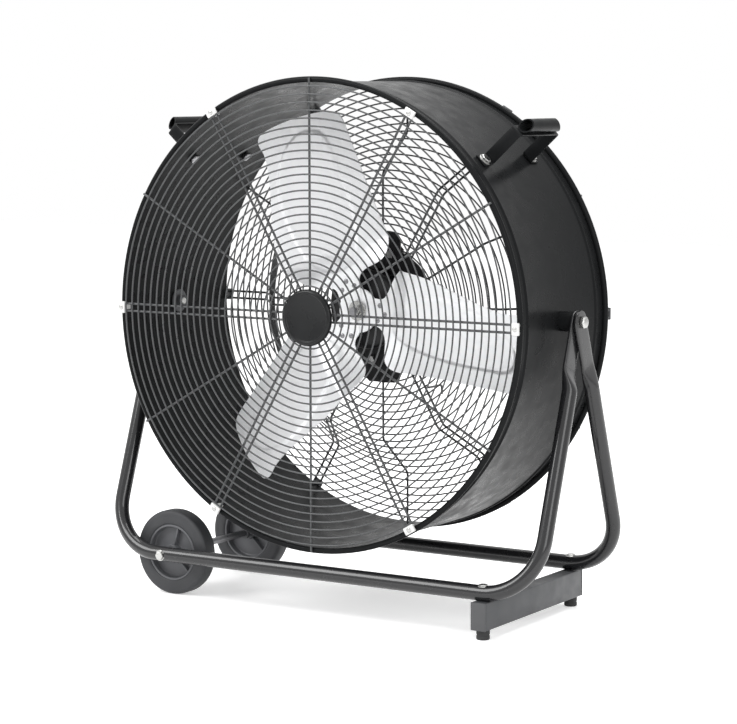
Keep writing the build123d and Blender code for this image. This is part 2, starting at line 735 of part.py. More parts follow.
def make_pivot_bolts():
    """Pivot bolts: domed hexagon head outside, shank through tube ends, spacer and wall."""
    head_x = FLAT_INNER_X + 2 * FLAT_T + FLAT_GAP + HEAD_GAP
    with BuildPart() as bolts:
        for side in (-1, 1):
            with BuildSketch(Plane.YZ.offset(side * head_x)):
                with Locations((0, AXIS_Z)):
                    RegularPolygon(PIVOT_HEAD_R, 6)
            extrude(amount=side * PIVOT_HEAD)
            with BuildSketch(Plane.YZ.offset(side * (head_x + PIVOT_HEAD))):
                with Locations((0, AXIS_Z)):
                    RegularPolygon(PIVOT_DOME_R, SHAFT_SIDES)
            extrude(amount=side * PIVOT_DOME, taper=35)
            with BuildSketch(Plane.YZ.offset(side * head_x)):
                with Locations((0, AXIS_Z)):
                    RegularPolygon(PIVOT_R, SHAFT_SIDES)
            extrude(amount=-side * (head_x - WALL_R + WALL + PIVOT_END))
    return bolts.part


def make_pivot_nuts():
    """Large washer and nut of each pivot, inside the drum."""
    inner_x = WALL_R - WALL - SEAT_GAP
    with BuildPart() as nuts:
        for side in (-1, 1):
            steps = (
                (inner_x, PIVOT_WASHER_R, 12, WASHER_T),
                (inner_x - WASHER_T, PIVOT_HEAD_R, 6, PIVOT_NUT),
            )
            for x, r, sides, length in steps:
                with BuildSketch(Plane.YZ.offset(side * x)):
                    with Locations((0, AXIS_Z)):
                        RegularPolygon(r, sides)
                        RegularPolygon(
                            PIVOT_R + RUNNING_FIT, SHAFT_SIDES, major_radius=False, mode=Mode.SUBTRACT
                        )
                extrude(amount=-side * length)
    return nuts.part


# ---- stand ----
def leg_plane(side):
    """Leaning plane of one bent tube; local Y runs up its legs. side is -1 front, +1 rear."""
    up = (0, -side * sin(LEG_SLOPE), cos(LEG_SLOPE))
    normal = (0, -up[2], up[1])
    return Plane(origin=(0, 0, AXIS_Z), x_dir=(1, 0, 0), z_dir=normal)


def across_leg(side, hand, down):
    """Plane square to a leg at this distance below the pivot; local X is +X."""
    up = Vector(0, -side * sin(LEG_SLOPE), cos(LEG_SLOPE))
    origin = Vector(hand * LEG_X, 0, AXIS_Z) - up * down
    return Plane(origin=origin, x_dir=(1, 0, 0), z_dir=up)


def tube_stations(side):
    """Planes across one bent tube, from its left end round both bends to its right end."""
    across = Vector(1, 0, 0)
    up = leg_plane(side).y_dir
    bends = []
    for hand in (-1, 1):
        centre = Vector(hand * (LEG_X - BEND_R), 0, AXIS_Z) - up * (LEG_LENGTH - BEND_R)
        for step in range(BEND_STEPS + 1):
            turn = radians(90 * (step if hand < 0 else BEND_STEPS - step) / BEND_STEPS)
            out = across * (hand * cos(turn)) - up * sin(turn)
            along = across * sin(turn) + up * (hand * cos(turn))
            bends.append(Plane(origin=centre + out * BEND_R, x_dir=out, z_dir=along))
    left = Vector(-LEG_X, 0, AXIS_Z) - up * ROUND_START
    right = Vector(LEG_X, 0, AXIS_Z) - up * ROUND_START
    start = Plane(origin=left, x_dir=across * -1, z_dir=up * -1)
    end = Plane(origin=right, x_dir=across, z_dir=up)
    return [start] + bends + [end]


def pressed_end(first, second):
    """Solid between two outlines with as many corners, its sides made of flat triangles."""
    faces = [Face(Wire.make_polygon(first)), Face(Wire.make_polygon(second))]
    for i in range(len(first)):
        faces.append(Face(Wire.make_polygon([first[i - 1], first[i], second[i]])))
        faces.append(Face(Wire.make_polygon([first[i - 1], second[i], second[i - 1]])))
    return Solid(Shell(faces))


def make_stand_tube(side):
    """One U-bent tube of the stand with flattened, cranked ends that meet at the pivots."""
    flat_x = FLAT_INNER_X + FLAT_T / 2
    if side > 0:
        flat_x += FLAT_T + FLAT_GAP
    turns = [2 * pi * i / TUBE_SIDES for i in range(TUBE_SIDES)]
    corner_r = TUBE_R / cos(pi / TUBE_SIDES)
    with BuildPart() as tube:
        for station in tube_stations(side):
            with BuildSketch(station):
                RegularPolygon(TUBE_R, TUBE_SIDES, major_radius=False)
        loft(ruled=True)
        for station in tube_stations(side):
            with BuildSketch(station):
                RegularPolygon(TUBE_R - TUBE_WALL, TUBE_BORE_SIDES)
        loft(ruled=True, mode=Mode.SUBTRACT)
        for hand in (-1, 1):
            low = across_leg(side, hand, ROUND_START)
            high = across_leg(side, hand, FLAT_END)
            aside = hand * (flat_x - LEG_X)
            whole = [low.from_local_coords((corner_r * cos(t), corner_r * sin(t))) for t in turns]
            flat_half = FLAT_T / 2
            pressed = [
                high.from_local_coords((aside + flat_half * cos(t), FLAT_W / 2 * sin(t))) for t in turns
            ]
            add(pressed_end(whole, pressed))
            flat = Plane(
                origin=(hand * flat_x - FLAT_T / 2, 0, AXIS_Z),
                x_dir=(0, cos(LEG_SLOPE), side * sin(LEG_SLOPE)),
                z_dir=(1, 0, 0),
            )
            with BuildSketch(flat):
                with Locations((0, -FLAT_END / 2)):
                    Rectangle(FLAT_W, FLAT_END)
                RegularPolygon(FLAT_W / 2, SHAFT_SIDES)
                RegularPolygon(PIVOT_R + RUNNING_FIT, SHAFT_SIDES, major_radius=False, mode=Mode.SUBTRACT)
            extrude(amount=FLAT_T)
        y = side * STAND_Y
        with BuildSketch(Plane.XY.offset(TUBE_Z + TUBE_R - SEAT_FLAT)):
            with Locations((FOOT_BAR_X, y)):
                Rectangle(20, 4 * TUBE_R)
        extrude(amount=TUBE_R, mode=Mode.SUBTRACT)
        with BuildSketch(Plane.XY.offset(TUBE_Z)):
            with Locations((FOOT_BAR_X, y)):
                RegularPolygon(FOOT_BOLT_R + BOLT_CLEARANCE, BOLT_SIDES)
        extrude(amount=2 * TUBE_R, both=True, mode=Mode.SUBTRACT)
        for flat_y in (y + TUBE_R - SEAT_FLAT, y - TUBE_R + SEAT_FLAT - 10):
            with BuildSketch(facing(flat_y, WHEEL_X, WHEEL_R)):
                Rectangle(22, 4 * TUBE_R)
            extrude(amount=-10, mode=Mode.SUBTRACT)
        with BuildSketch(facing(y, WHEEL_X, WHEEL_R)):
            RegularPolygon(AXLE_HOLE_R, BOLT_SIDES)
        extrude(amount=2 * TUBE_R, both=True, mode=Mode.SUBTRACT)
    return tube.part


def make_foot_bar():
    """Box-section bar under the tubes on the side away from the wheels."""
    height = FOOT_BAR_HIGH - FOOT_BAR_LOW
    with BuildPart() as bar:
        with BuildSketch(facing(-FOOT_BAR_HALF, FOOT_BAR_X, FOOT_BAR_LOW + height / 2)) as section:
            Rectangle(FOOT_BAR_W, height)
            chamfer(section.vertices(), FOOT_BAR_EDGE)
            Rectangle(FOOT_BAR_W - 2 * FOOT_BAR_WALL, height - 2 * FOOT_BAR_WALL, mode=Mode.SUBTRACT)
        extrude(amount=-2 * FOOT_BAR_HALF)
        with BuildSketch(Plane.XY.offset(FOOT_BAR_HIGH - 5)):
            with Locations((FOOT_BAR_X, STAND_Y), (FOOT_BAR_X, -STAND_Y)):
                RegularPolygon(FOOT_BOLT_R + BOLT_CLEARANCE, BOLT_SIDES)
        extrude(amount=10, mode=Mode.SUBTRACT)
    return bar.part


def make_foot_bar_caps():
    """Plugs that close the bar's two ends."""
    height = FOOT_BAR_HIGH - FOOT_BAR_LOW
    inside = 2 * FOOT_BAR_WALL + 0.2
    with BuildPart() as caps:
        for side in (-1, 1):
            end = facing(side * FOOT_BAR_HALF, FOOT_BAR_X, FOOT_BAR_LOW + height / 2)
            with BuildSketch(end) as face:
                Rectangle(FOOT_BAR_W, height)
                chamfer(face.vertices(), FOOT_BAR_EDGE)
            extrude(amount=-side * CAP_T)
            with BuildSketch(end):
                Rectangle(FOOT_BAR_W - inside, height - inside)
            extrude(amount=side * CAP_PLUG)
    return caps.part


def make_rubber_feet():
    """Round rubber feet under the bar, one below each tube."""
    with BuildPart() as feet:
        with BuildSketch(Plane.XY):
            with Locations((FOOT_BAR_X, STAND_Y), (FOOT_BAR_X, -STAND_Y)):
                RegularPolygon(RUBBER_FOOT_R, 12)
        extrude(amount=FOOT_BAR_LOW)
    return feet.part


def make_foot_bar_bolts():
    """Bolts down through the tubes into the bar."""
    head_z = TUBE_Z + TUBE_R - SEAT_FLAT
    with BuildPart() as bolts:
        with BuildSketch(Plane.XY.offset(head_z)):
            with Locations((FOOT_BAR_X, STAND_Y), (FOOT_BAR_X, -STAND_Y)):
                RegularPolygon(FOOT_BOLT_HEAD_R, BOLT_SIDES)
        extrude(amount=FOOT_BOLT_HEAD)
        with BuildSketch(Plane.XY.offset(head_z)):
            with Locations((FOOT_BAR_X, STAND_Y), (FOOT_BAR_X, -STAND_Y)):
                RegularPolygon(FOOT_BOLT_R, BOLT_SIDES)
        extrude(amount=-(head_z - FOOT_BAR_HIGH + 12))
    return bolts.part


# ---- wheels ----
def make_axle():
    """Round axle between the bottom tubes, tapped at both ends."""
    half = STAND_Y - TUBE_R + SEAT_FLAT
    with BuildPart() as axle:
        with BuildSketch(facing(-half, WHEEL_X, WHEEL_R)):
            RegularPolygon(AXLE_R, SHAFT_SIDES)
        extrude(amount=-2 * half)
        for side in (-1, 1):
            with BuildSketch(facing(side * half, WHEEL_X, WHEEL_R)):
                RegularPolygon(AXLE_BOLT_R + BOLT_CLEARANCE, BOLT_SIDES)
            extrude(amount=side * AXLE_THREAD, mode=Mode.SUBTRACT)
    return axle.part


def make_axle_bolts():
    """Bolts that hold the axle between the tubes, heads outside."""
    head_y = STAND_Y + TUBE_R - SEAT_FLAT
    with BuildPart() as bolts:
        for side in (-1, 1):
            with BuildSketch(facing(side * head_y, WHEEL_X, WHEEL_R)):
                RegularPolygon(AXLE_HEAD_R, BOLT_SIDES)
            extrude(amount=-side * AXLE_HEAD)
            with BuildSketch(facing(side * head_y, WHEEL_X, WHEEL_R)):
                RegularPolygon(AXLE_BOLT_R, BOLT_SIDES)
            extrude(amount=side * (2 * TUBE_R + 6))
    return bolts.part


def make_axle_collars():
    """Collars that keep each wheel in its place on the axle."""
    half = STAND_Y - TUBE_R + SEAT_FLAT
    with BuildPart() as collars:
        for side in (-1, 1):
            inner = WHEEL_Y - WHEEL_W / 2 - COLLAR_GAP
            outer = WHEEL_Y + WHEEL_W / 2 + COLLAR_GAP
            for y, length in ((inner, -COLLAR_LENGTH), (outer, half - outer)):
                with BuildSketch(facing(side * y, WHEEL_X, WHEEL_R)):
                    RegularPolygon(COLLAR_R, 6)
                    RegularPolygon(AXLE_R + COLLAR_FIT, 6, major_radius=False, mode=Mode.SUBTRACT)
                extrude(amount=-side * length)
    return collars.part


def make_tyre(side):
    """Solid tyre with a flat face and bevelled shoulders."""
    y = side * WHEEL_Y - WHEEL_W / 2
    with BuildPart() as tyre:
        with BuildSketch(facing(y, WHEEL_X, WHEEL_R)):
            RegularPolygon(WHEEL_R, TREAD_SIDES)
        extrude(amount=-WHEEL_W)
        ends = tyre.faces().sort_by(Axis.Y)
        chamfer(ends[0].edges() + ends[-1].edges(), SHOULDER)
        with BuildSketch(facing(y, WHEEL_X, WHEEL_R)):
            RegularPolygon(HUB_R, HUB_SIDES)
        extrude(amount=-WHEEL_W, mode=Mode.SUBTRACT)
    return tyre.part


def make_wheel_hub(side):
    """Moulded wheel centre: rim, thin web, boss on the axle and three ribs on each face."""
    y = side * WHEEL_Y
    half = WHEEL_W / 2
    with BuildPart() as hub:
        with BuildSketch(facing(y, WHEEL_X, WHEEL_R)):
            RegularPolygon(HUB_R, HUB_SIDES)
        extrude(amount=half - 1, both=True)
        for end in (-1, 1):
            with BuildSketch(facing(y + end * WEB_HALF, WHEEL_X, WHEEL_R)):
                RegularPolygon(HUB_R - HUB_RIM, HUB_SIDES)
            extrude(amount=-end * half, mode=Mode.SUBTRACT)
        with BuildSketch(facing(y, WHEEL_X, WHEEL_R)):
            RegularPolygon(HUB_BOSS_R, SHAFT_SIDES)
        extrude(amount=half, both=True)
        with BuildSketch(facing(y, WHEEL_X, WHEEL_R)):
            with PolarLocations(RIB_AT_R, 3, start_angle=75):
                Rectangle(RIB_LENGTH, RIB_T)
        extrude(amount=half - 4, both=True)
        with BuildSketch(facing(y, WHEEL_X, WHEEL_R)):
            RegularPolygon(AXLE_R + AXLE_FIT, SHAFT_SIDES, major_radius=False)
        extrude(amount=half, both=True, mode=Mode.SUBTRACT)
    return hub.part


# ---- build everything ----
os.makedirs("parts", exist_ok=True)

save(make_drum_shell(), "drum_shell")
front_rings = [make_ring(r, -RING_Y, -1) for r in RING_RADII]
save(Compound(children=front_rings), "front_guard_rings")
save(make_front_spokes(), "front_guard_spokes")
save(make_badge(), "front_badge")
save(make_clips(-1), "front_guard_clips")
rear_rings = [make_ring(r, rear_ring_y(r), 1) for r in RING_RADII]
save(Compound(children=rear_rings[:CENTRE_COUNT]), "rear_guard_centre_rings")
save(Compound(children=rear_rings[CENTRE_COUNT:]), "rear_guard_outer_rings")
save(make_rear_spokes(), "rear_guard_spokes")
save(make_clips(1), "rear_guard_clips")
save(make_motor_plate(PANEL_Y - PLATE_T, STRAP_HALF_LENGTH, PLATE_R), "motor_mount_plate")
save(make_motor_plate(PANEL_BACK_Y, CLAMP_HALF_LENGTH, 0), "motor_clamp_plate")
save(make_plate_bolts(), "motor_mount_bolts")
save(make_motor_body(), "motor_body")
save(make_motor_shield(), "motor_end_shield")
save(make_switch_box(), "switch_box")
save(make_switch_knob(), "switch_knob")
save(make_cable_gland(), "cable_gland")
save(make_cord_hooks(), "cord_hooks")
save(make_motor_shaft(), "motor_shaft")
save(make_fan_hub(), "fan_hub")
save(make_spider(), "fan_spider")
for index in range(BLADE_COUNT):
    save(make_blade(BLADE_ANGLE - 120 * index), f"fan_blade_{index + 1}")
save(make_hub_nut(), "hub_nut")
save(make_handle(HANDLE_ANGLE), "handle_right")
save(make_handle(180 - HANDLE_ANGLE), "handle_left")
save(make_grip(HANDLE_ANGLE), "handle_grip_right")
save(make_grip(180 - HANDLE_ANGLE), "handle_grip_left")
save(make_handle_bolts(), "handle_bolts")
save(make_pivot_spacers(), "pivot_spacers")
save(make_pivot_bolts(), "pivot_bolts")
save(make_pivot_nuts(), "pivot_nuts")
save(make_stand_tube(-1), "stand_front_tube")
save(make_stand_tube(1), "stand_rear_tube")
save(make_foot_bar(), "foot_bar")
save(make_foot_bar_caps(), "foot_bar_caps")
save(make_foot_bar_bolts(), "foot_bar_bolts")
save(make_rubber_feet(), "rubber_feet")
save(make_axle(), "wheel_axle")
save(make_axle_bolts(), "axle_bolts")
save(make_axle_collars(), "axle_collars")
save(make_tyre(-1), "front_wheel_tyre")
save(make_wheel_hub(-1), "front_wheel_hub")
save(make_tyre(1), "rear_wheel_tyre")
save(make_wheel_hub(1), "rear_wheel_hub")
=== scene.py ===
import json
from math import atan2, cos, hypot, pi, radians, sin, sqrt, tan

import bmesh
import bpy
from mathutils import Matrix, Vector


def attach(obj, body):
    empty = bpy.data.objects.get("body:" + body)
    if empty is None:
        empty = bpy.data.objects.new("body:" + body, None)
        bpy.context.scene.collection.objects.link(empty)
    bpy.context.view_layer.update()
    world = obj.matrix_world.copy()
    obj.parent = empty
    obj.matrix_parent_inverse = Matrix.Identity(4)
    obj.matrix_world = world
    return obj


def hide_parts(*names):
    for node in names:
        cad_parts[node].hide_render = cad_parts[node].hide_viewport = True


# Looks of a drum fan on a wheeled tube stand. Sizes are millimetres in the frame of the packed
# part: X to the right seen from the front, Y to the back, Z up, origin on the floor. A profile
# is a row of (place along the axis, radius) points.

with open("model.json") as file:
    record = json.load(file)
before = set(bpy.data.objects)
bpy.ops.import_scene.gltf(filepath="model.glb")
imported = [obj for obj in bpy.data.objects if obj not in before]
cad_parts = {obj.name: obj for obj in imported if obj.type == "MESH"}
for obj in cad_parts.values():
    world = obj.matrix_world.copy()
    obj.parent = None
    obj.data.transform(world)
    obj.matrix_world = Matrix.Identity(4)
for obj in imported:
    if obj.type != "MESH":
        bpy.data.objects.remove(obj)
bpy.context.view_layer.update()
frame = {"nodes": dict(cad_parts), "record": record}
nodes = frame["nodes"]

MM = 0.001
X_DIR = Vector((1, 0, 0))
Y_DIR = Vector((0, 1, 0))
Z_DIR = Vector((0, 0, 1))

# ---- drum sizes ----
AXIS_Z = 502.0               # height of the drum's axis and of the tilt pivots
DRUM_CENTRE = Vector((0, 0, AXIS_Z))
WALL_R = 387.0
NUT_SEAT_R = 383.8           # flat nuts inside the drum stand here, on its curved wall
BEAD_Y = 147.5               # middle of the drum to the centre of a rolled bead
BEAD_CENTRE_R = 390.0
BEAD_R = 5.0
BEAD_SWEEP = 306.87          # degrees from the bead's inner side round to the wall
BEAD_STEPS = 24
SWAGE_Y = 118.0
SWAGE_HALF = 5.0
SWAGE_HEIGHT = 2.5
SWAGE_STEPS = 12
DRUM_SEGMENTS = 192

# ---- guard sizes ----
RING_R = 1.4
RING_SIDES = 8
RING_COUNT = 26
RING_FIRST = 52.0
RING_PITCH = 13.1
RING_SEGMENTS = 128
SMALL_RING_SEGMENTS = 72
SMALL_RING_BELOW = 150.0     # rings under this radius have fewer segments
SPOKE_R = 2.0
SPOKE_SIDES = 10
SPOKE_Y = 154.5
SPOKE_END_R = 393.0
FRONT_SPOKE_START = 22.0
REAR_SPOKE_START = 34.0
PAIR_SHIFT = 6.25            # a paired spoke stands this far beside its angle
PAIR_ANGLES = [60 * i for i in range(6)]
SINGLE_ANGLES = [60 * i + 30 for i in range(6)]
DISH_Y = 73.5                # the spokes on the floor of the rear guard's dish
DISH_INNER_R = 231.0
DISH_OUTER_R = 299.0
DISH_BEND = 14.0
DISH_SLOPE = (SPOKE_Y - DISH_Y) / (DISH_OUTER_R - DISH_INNER_R)
SLOPE_REACH = 2.4            # a ring on the slope is as far back as the spokes this much outward
RING_SEAT = SPOKE_R + RING_R

BADGE_BACK_Y = -159.3
BADGE_PROFILE = (            # depth in front of the badge's back, and radius
    (0, 0), (0, 45.5), (0.9, 46.8), (3.9, 47.0), (6.1, 46.3), (7.7, 44.6), (8.5, 42.4),
    (8.5, 40.6), (7.9, 39.6), (6.7, 39.0), (6.5, 38.2), (6.5, 0),
)
CLIP_Y = 158.75
CLIP_R = 387.65
CLIP_SIZE = (12.7, 20.0, 4.5)            # outward, round the drum and along it
CLIP_LEG_R = 382.8
CLIP_LEG_IN = 9.0                        # from the clip's middle to the middle of its leg
CLIP_LEG_SIZE = (3.0, 8.0, 14.0)
SCREW_AT_R = 387.7
SCREW_OUT = 2.2                          # from the clip's middle to the screw's seat
SCREW_R = 4.2
SCREW_HEIGHT = 2.0

# ---- motor sizes ----
CAN_FRONT_Y = 25.5
CAN_BACK_Y = 68.5
CAN_R = 64.0
FIN_COUNT = 12
FIN_HEIGHT = 8.0             # half of it stands out of the can
FIN_T = 4.0
SHIELD_PROFILE = (
    (25.5, 7.2), (25.5, 67.4), (24.6, 68), (20.5, 68), (17.5, 66.6), (14.6, 63), (13.5, 59),
    (13.5, 27), (12.6, 25), (9.6, 24), (8.5, 22.8), (8.5, 7.2),
)
KNOB_PROFILE = (
    (111.6, 0), (111.6, 4), (121.6, 4), (121.6, 16.6), (122.2, 17), (125.6, 17), (126.6, 16),
    (126.6, 0),
)
KNOB_GRIP_Y = 132.0
KNOB_GRIP_SIZE = (9.0, 30.0, 11.2)
GLAND_TOP = Vector((0, 101.3, 454))
GLAND_HEX_R = 11.0
GLAND_HEX = 6.0
GLAND_PROFILE = ((6, 4), (6, 8), (7, 8.5), (13, 8.5), (15, 7), (15, 4))
HOOK_X = 89.0
HOOK_START_Y = 78.5
HOOK_BASE_Y = 80.3           # a hook's reach is counted from here
HOOK_BEND = 6.0
HOOK_R = 2.0
HOOKS = ((38, 44, 18, 14), (-135, 42, 16, 0))    # height over the axis, reach, drop, return

# ---- rotor sizes ----
BLADE_ANGLES = (110, -10, 230)
BLADE_NECK_Y = -7.5
BLADE_SET = -13.5            # the pitched part stands this far in front of the neck
BLADE_SLOPE = tan(radians(21.8))
TWIST_START = 60.0           # radii between which the neck turns into the pitched blade
TWIST_END = 112.0
SHEET_HALF = 1.0
PANEL_HEIGHT = 3.0
PANEL_EDGE = 4.6
BLADE_COLUMNS = 72
BLADE_ROW_STEP = 2.2
ROW_INSET = 0.05             # the first and last rows lie this far inside the outline
ROW_MERGE = 0.25             # rows closer than this are one
BLADE_OUTLINE = (            # across the blade and out from the axis
    (18, 22), (18, 50), (36, 63), (62, 64), (80, 69), (89, 84), (89, 104), (85, 130), (80, 200),
    (76, 270), (74, 318), (68, 331), (55, 339), (20, 345), (-20, 345), (-55, 340), (-66, 333),
    (-69, 320), (-63, 300), (-68, 255), (-80, 205), (-91, 155), (-94, 118), (-92, 88), (-80, 67),
    (-62, 59), (-42, 54), (-28, 46), (-28, 22), (-5, 14),
)
PANEL_OUTLINE = (
    (-34, 72), (-50, 106), (-60, 150), (-64, 200), (-60, 240), (-48, 276), (-26, 308), (8, 324),
    (42, 308), (46, 250), (50, 195), (47, 140), (39, 104), (24, 72),
)
RIVETS = ((-18, 42), (8, 42), (-5, 54))
RIVET_R = 4.5
RIVET_HEIGHT = 2.0
ROTOR_BORE_R = 7.1
HUB_PROFILE = (
    (-2.5, 7.1), (-2.5, 29.4), (-1.9, 30), (1.6, 30), (2.5, 29), (3.2, 20.5), (4.4, 19),
    (6.8, 19), (7.5, 18.3), (7.5, 7.1),
)
SPIDER_FRONT_Y = -6.5
SPIDER_BACK_Y = -2.5
SPIDER_R = 38.0
ARM_SIZE = (76.0, 40.0, 3.8)
NECK_SHIFT = 5.0             # the middle of a blade's neck stands this far beside its angle
NUT_SEAT_Y = 8.5
HUB_WASHER_R = 17.0
HUB_WASHER_T = 3.0
HUB_NUT_R = 13.0
HUB_NUT = 10.0
SHAFT_R = 7.0
SHAFT_TIP_Y = -25.5
SHAFT_TIP_EDGE = 0.8

# ---- handle and pivot sizes ----
HANDLE_ANGLES = (("right", 42.0), ("left", 138.0))
HANDLE_Y = -8.0              # middle of each handle along the drum
STRAP_FOOT_R = 388.7         # radii and half lengths are to the middle of the strap's sheet
STRAP_FOOT_HALF = 90.0
STRAP_LEG_HALF = 64.5
STRAP_TOP_R = 459.0
STRAP_BEND = 6.0
STRAP_BEND_STEPS = 8
STRAP_HALF_T = 1.5
STRAP_HALF_WIDTH = 11.0
GRIP_AT_R = 471.5
GRIP_R = 11.0
GRIP_WALL = 2.0
GRIP_HALF = 59.0
GRIP_SLANT = 17.0            # each end of a grip is cut back by this much at its top
GRIP_SIDES = 48
HANDLE_BOLT_Y = 77.5
HANDLE_HEAD_R = 9.0
HANDLE_HEAD = 6.0
HANDLE_WASHER_R = 10.5

PIVOT_BORE_R = 6.1
SPACER_START = 386.6
SPACER_END = 409.7
SPACER_R = 16.5
SPACER_EDGE = 0.8
PIVOT_SHANK_PROFILE = ((371, 0), (371, 5.4), (371.8, 6), (424, 6), (424, 0))
PIVOT_HEAD_X = 422.7
PIVOT_HEAD_R = 10.5
PIVOT_HEAD = 7.0
PIVOT_DOME_X = 429.6
PIVOT_DOME_R = 8.5
PIVOT_DOME = 2.4
PIVOT_WASHER_R = 20.0
PIVOT_WASHER_T = 3.0
PIVOT_NUT = 8.0

# ---- stand sizes ----
TUBE_R = 12.7
TUBE_SIDES = 40
LEG_X = 421.0
STAND_Y = 151.0              # the bottom tubes stand this far before and behind the pivots
TUBE_Z = 75.0
BEND_R = 95.0
BEND_STEPS = 18
LEG_STEPS = 6
FRONT_FLAT_X = 413.0         # middle of each tube's flattened end
REAR_FLAT_X = 419.4
FLAT_HALF_T = 3.0
FLAT_HALF_W = 19.0
FLAT_POWER = 5.0             # how square the section is: 2 is round
ROUND_POWER = 2.0
FLAT_END = 76.0              # distances down the leg from its pivot
ROUND_START = 118.0
FLATTEN_STEPS = 12
FLAT_PLACES = (-18.9, -18.4, -17.2, -15, -12, -8, -4, 0, 12, 30, 50, 66, FLAT_END)
LEG_LENGTH = hypot(STAND_Y, AXIS_Z - TUBE_Z)
LEG_SLOPE = atan2(STAND_Y, AXIS_Z - TUBE_Z)
BOLT_SINK = 2.0              # a bolt head's seat lies this far inside the round of the tube

FOOT_BAR_X = 327.0
FOOT_BAR_LOW = 16.0
FOOT_BAR_HIGH = TUBE_Z - TUBE_R
FOOT_BAR_W = 28.0
FOOT_BAR_HALF = 166.0
CAP_T = 2.4
CAP_INSET = 0.3
FOOT_PROFILE = (
    (0, 0), (0, 9.6), (1.2, 11), (6, 11), (6.8, 10.4), (8.4, 10.4), (9.2, 11), (15.2, 11),
    (16, 10.4), (16, 0),
)
FOOT_BOLT_R = 7.5
FOOT_BOLT_HEAD = 4.0
FOOT_WASHER_R = 9.0

WHEEL_X = -309.0
WHEEL_Y = 114.0
WHEEL_Z = 74.0
TYRE_HALF_PROFILE = (
    (0, 74), (9.5, 74), (12.6, 73.3), (14.8, 71.4), (15.9, 68.6), (16, 66), (15.7, 63), (16, 60),
    (16, 53), (15.2, 50.2), (14.2, 49),
)
CENTRE_HALF_PROFILE = (
    (14.2, 49), (15, 48.2), (15, 46.2), (14.2, 45.2), (4.4, 44.3), (3, 42.6), (3, 17),
    (4.2, 14.4), (15.2, 13.5), (16, 12.7), (16, 6.08),
)
WHEEL_RIB_ANGLES = (75, 195, 315)
WHEEL_RIB_AT_R = 29.0
WHEEL_RIB_SIZE = (33.0, 3.0, 24.0)
AXLE_R = 6.0
AXLE_HALF = STAND_Y - TUBE_R + BOLT_SINK
AXLE_HEAD_R = 8.0
AXLE_HEAD = 5.0
AXLE_WASHER_R = 9.5
COLLAR_R = 10.0
COLLAR_BORE_R = 6.05
COLLAR_EDGE = 0.6
COLLAR_SPANS = ((89.5, 97.5), (130.5, AXLE_HALF))

# ---- sizes of what repeats ----
ON_AXIS = 1e-6               # a smaller radius is one point on the axis
MOST_REACH = 0.48            # a rounded corner takes up to this share of each run beside it
RIM_EDGE = 0.4
HEX_SIDES = 6
HEX_ROWS = ((0.0, 0.97), (0.06, 1.0), (0.8, 1.0), (1.0, 0.88))   # shares of height and radius
WASHER_T = 1.5
WASHER_EDGE = 0.3
WASHER_TOP_EDGE = 0.4
DOME_STEPS = 5
CORNER_CUT = 0.25            # share of each side cut off at a corner of an outline

# ---- studio: metres, watts and strengths ----
FLOOR_HALF = 9.0
FLOOR_LIFT = 0.42
SOFT_WORLD = 0.75
WHITE_WORLD = 1.0
WHITE = (1, 1, 1, 1)
LAMP_AIM = Vector((0, 0, 0.45))
LAMPS = (                    # name, place, size, power
    ("key", (-2.2, -2.6, 3.0), (2.2, 2.2), 115),
    ("fill", (3.0, -2.2, 1.8), (1.6, 2.4), 45),
    ("top", (0.2, 0.4, 3.6), (2.6, 2.6), 100),
)

# ---- camera: millimetres, from the centre of the drum's front rim ----
CAMERA_TURN = radians(32.21)
CAMERA_RISE = radians(6.376)
CAMERA_ROLL = radians(-0.122)
CAMERA_DISTANCE = 4050.0
CAMERA_RIGHT = 92.31
CAMERA_DOWN = 74.29
CAMERA_LENS = 119.87
SENSOR_WIDTH = 36.0
SIGHT_END = 100.0            # metres

# ---- materials ----
COAT_ROUGHNESS = 0.06
CLOUD_DETAIL = 5.0
SMUDGE_DETAIL = 4.0
GRAIN_DETAIL = 2.0
SMUDGE_RANGE = (0.3, 0.7)    # the noise between these gives the whole range of gloss
LEAST_ROUGHNESS = 0.02
BUMP_DISTANCE = 0.0004
MIX_FACTOR = 0               # sockets of a Mix node in colour mode, whose names aren't unique
MIX_A = 6
MIX_B = 7
MIX_RESULT = 2


def noise(tree, mapping, scale, detail):
    """Noise over the piece's own coordinates."""
    node = tree.nodes.new("ShaderNodeTexNoise")
    node.inputs["Scale"].default_value = scale
    node.inputs["Detail"].default_value = detail
    tree.links.new(mapping.outputs["Vector"], node.inputs["Vector"])
    return node.outputs["Fac"]


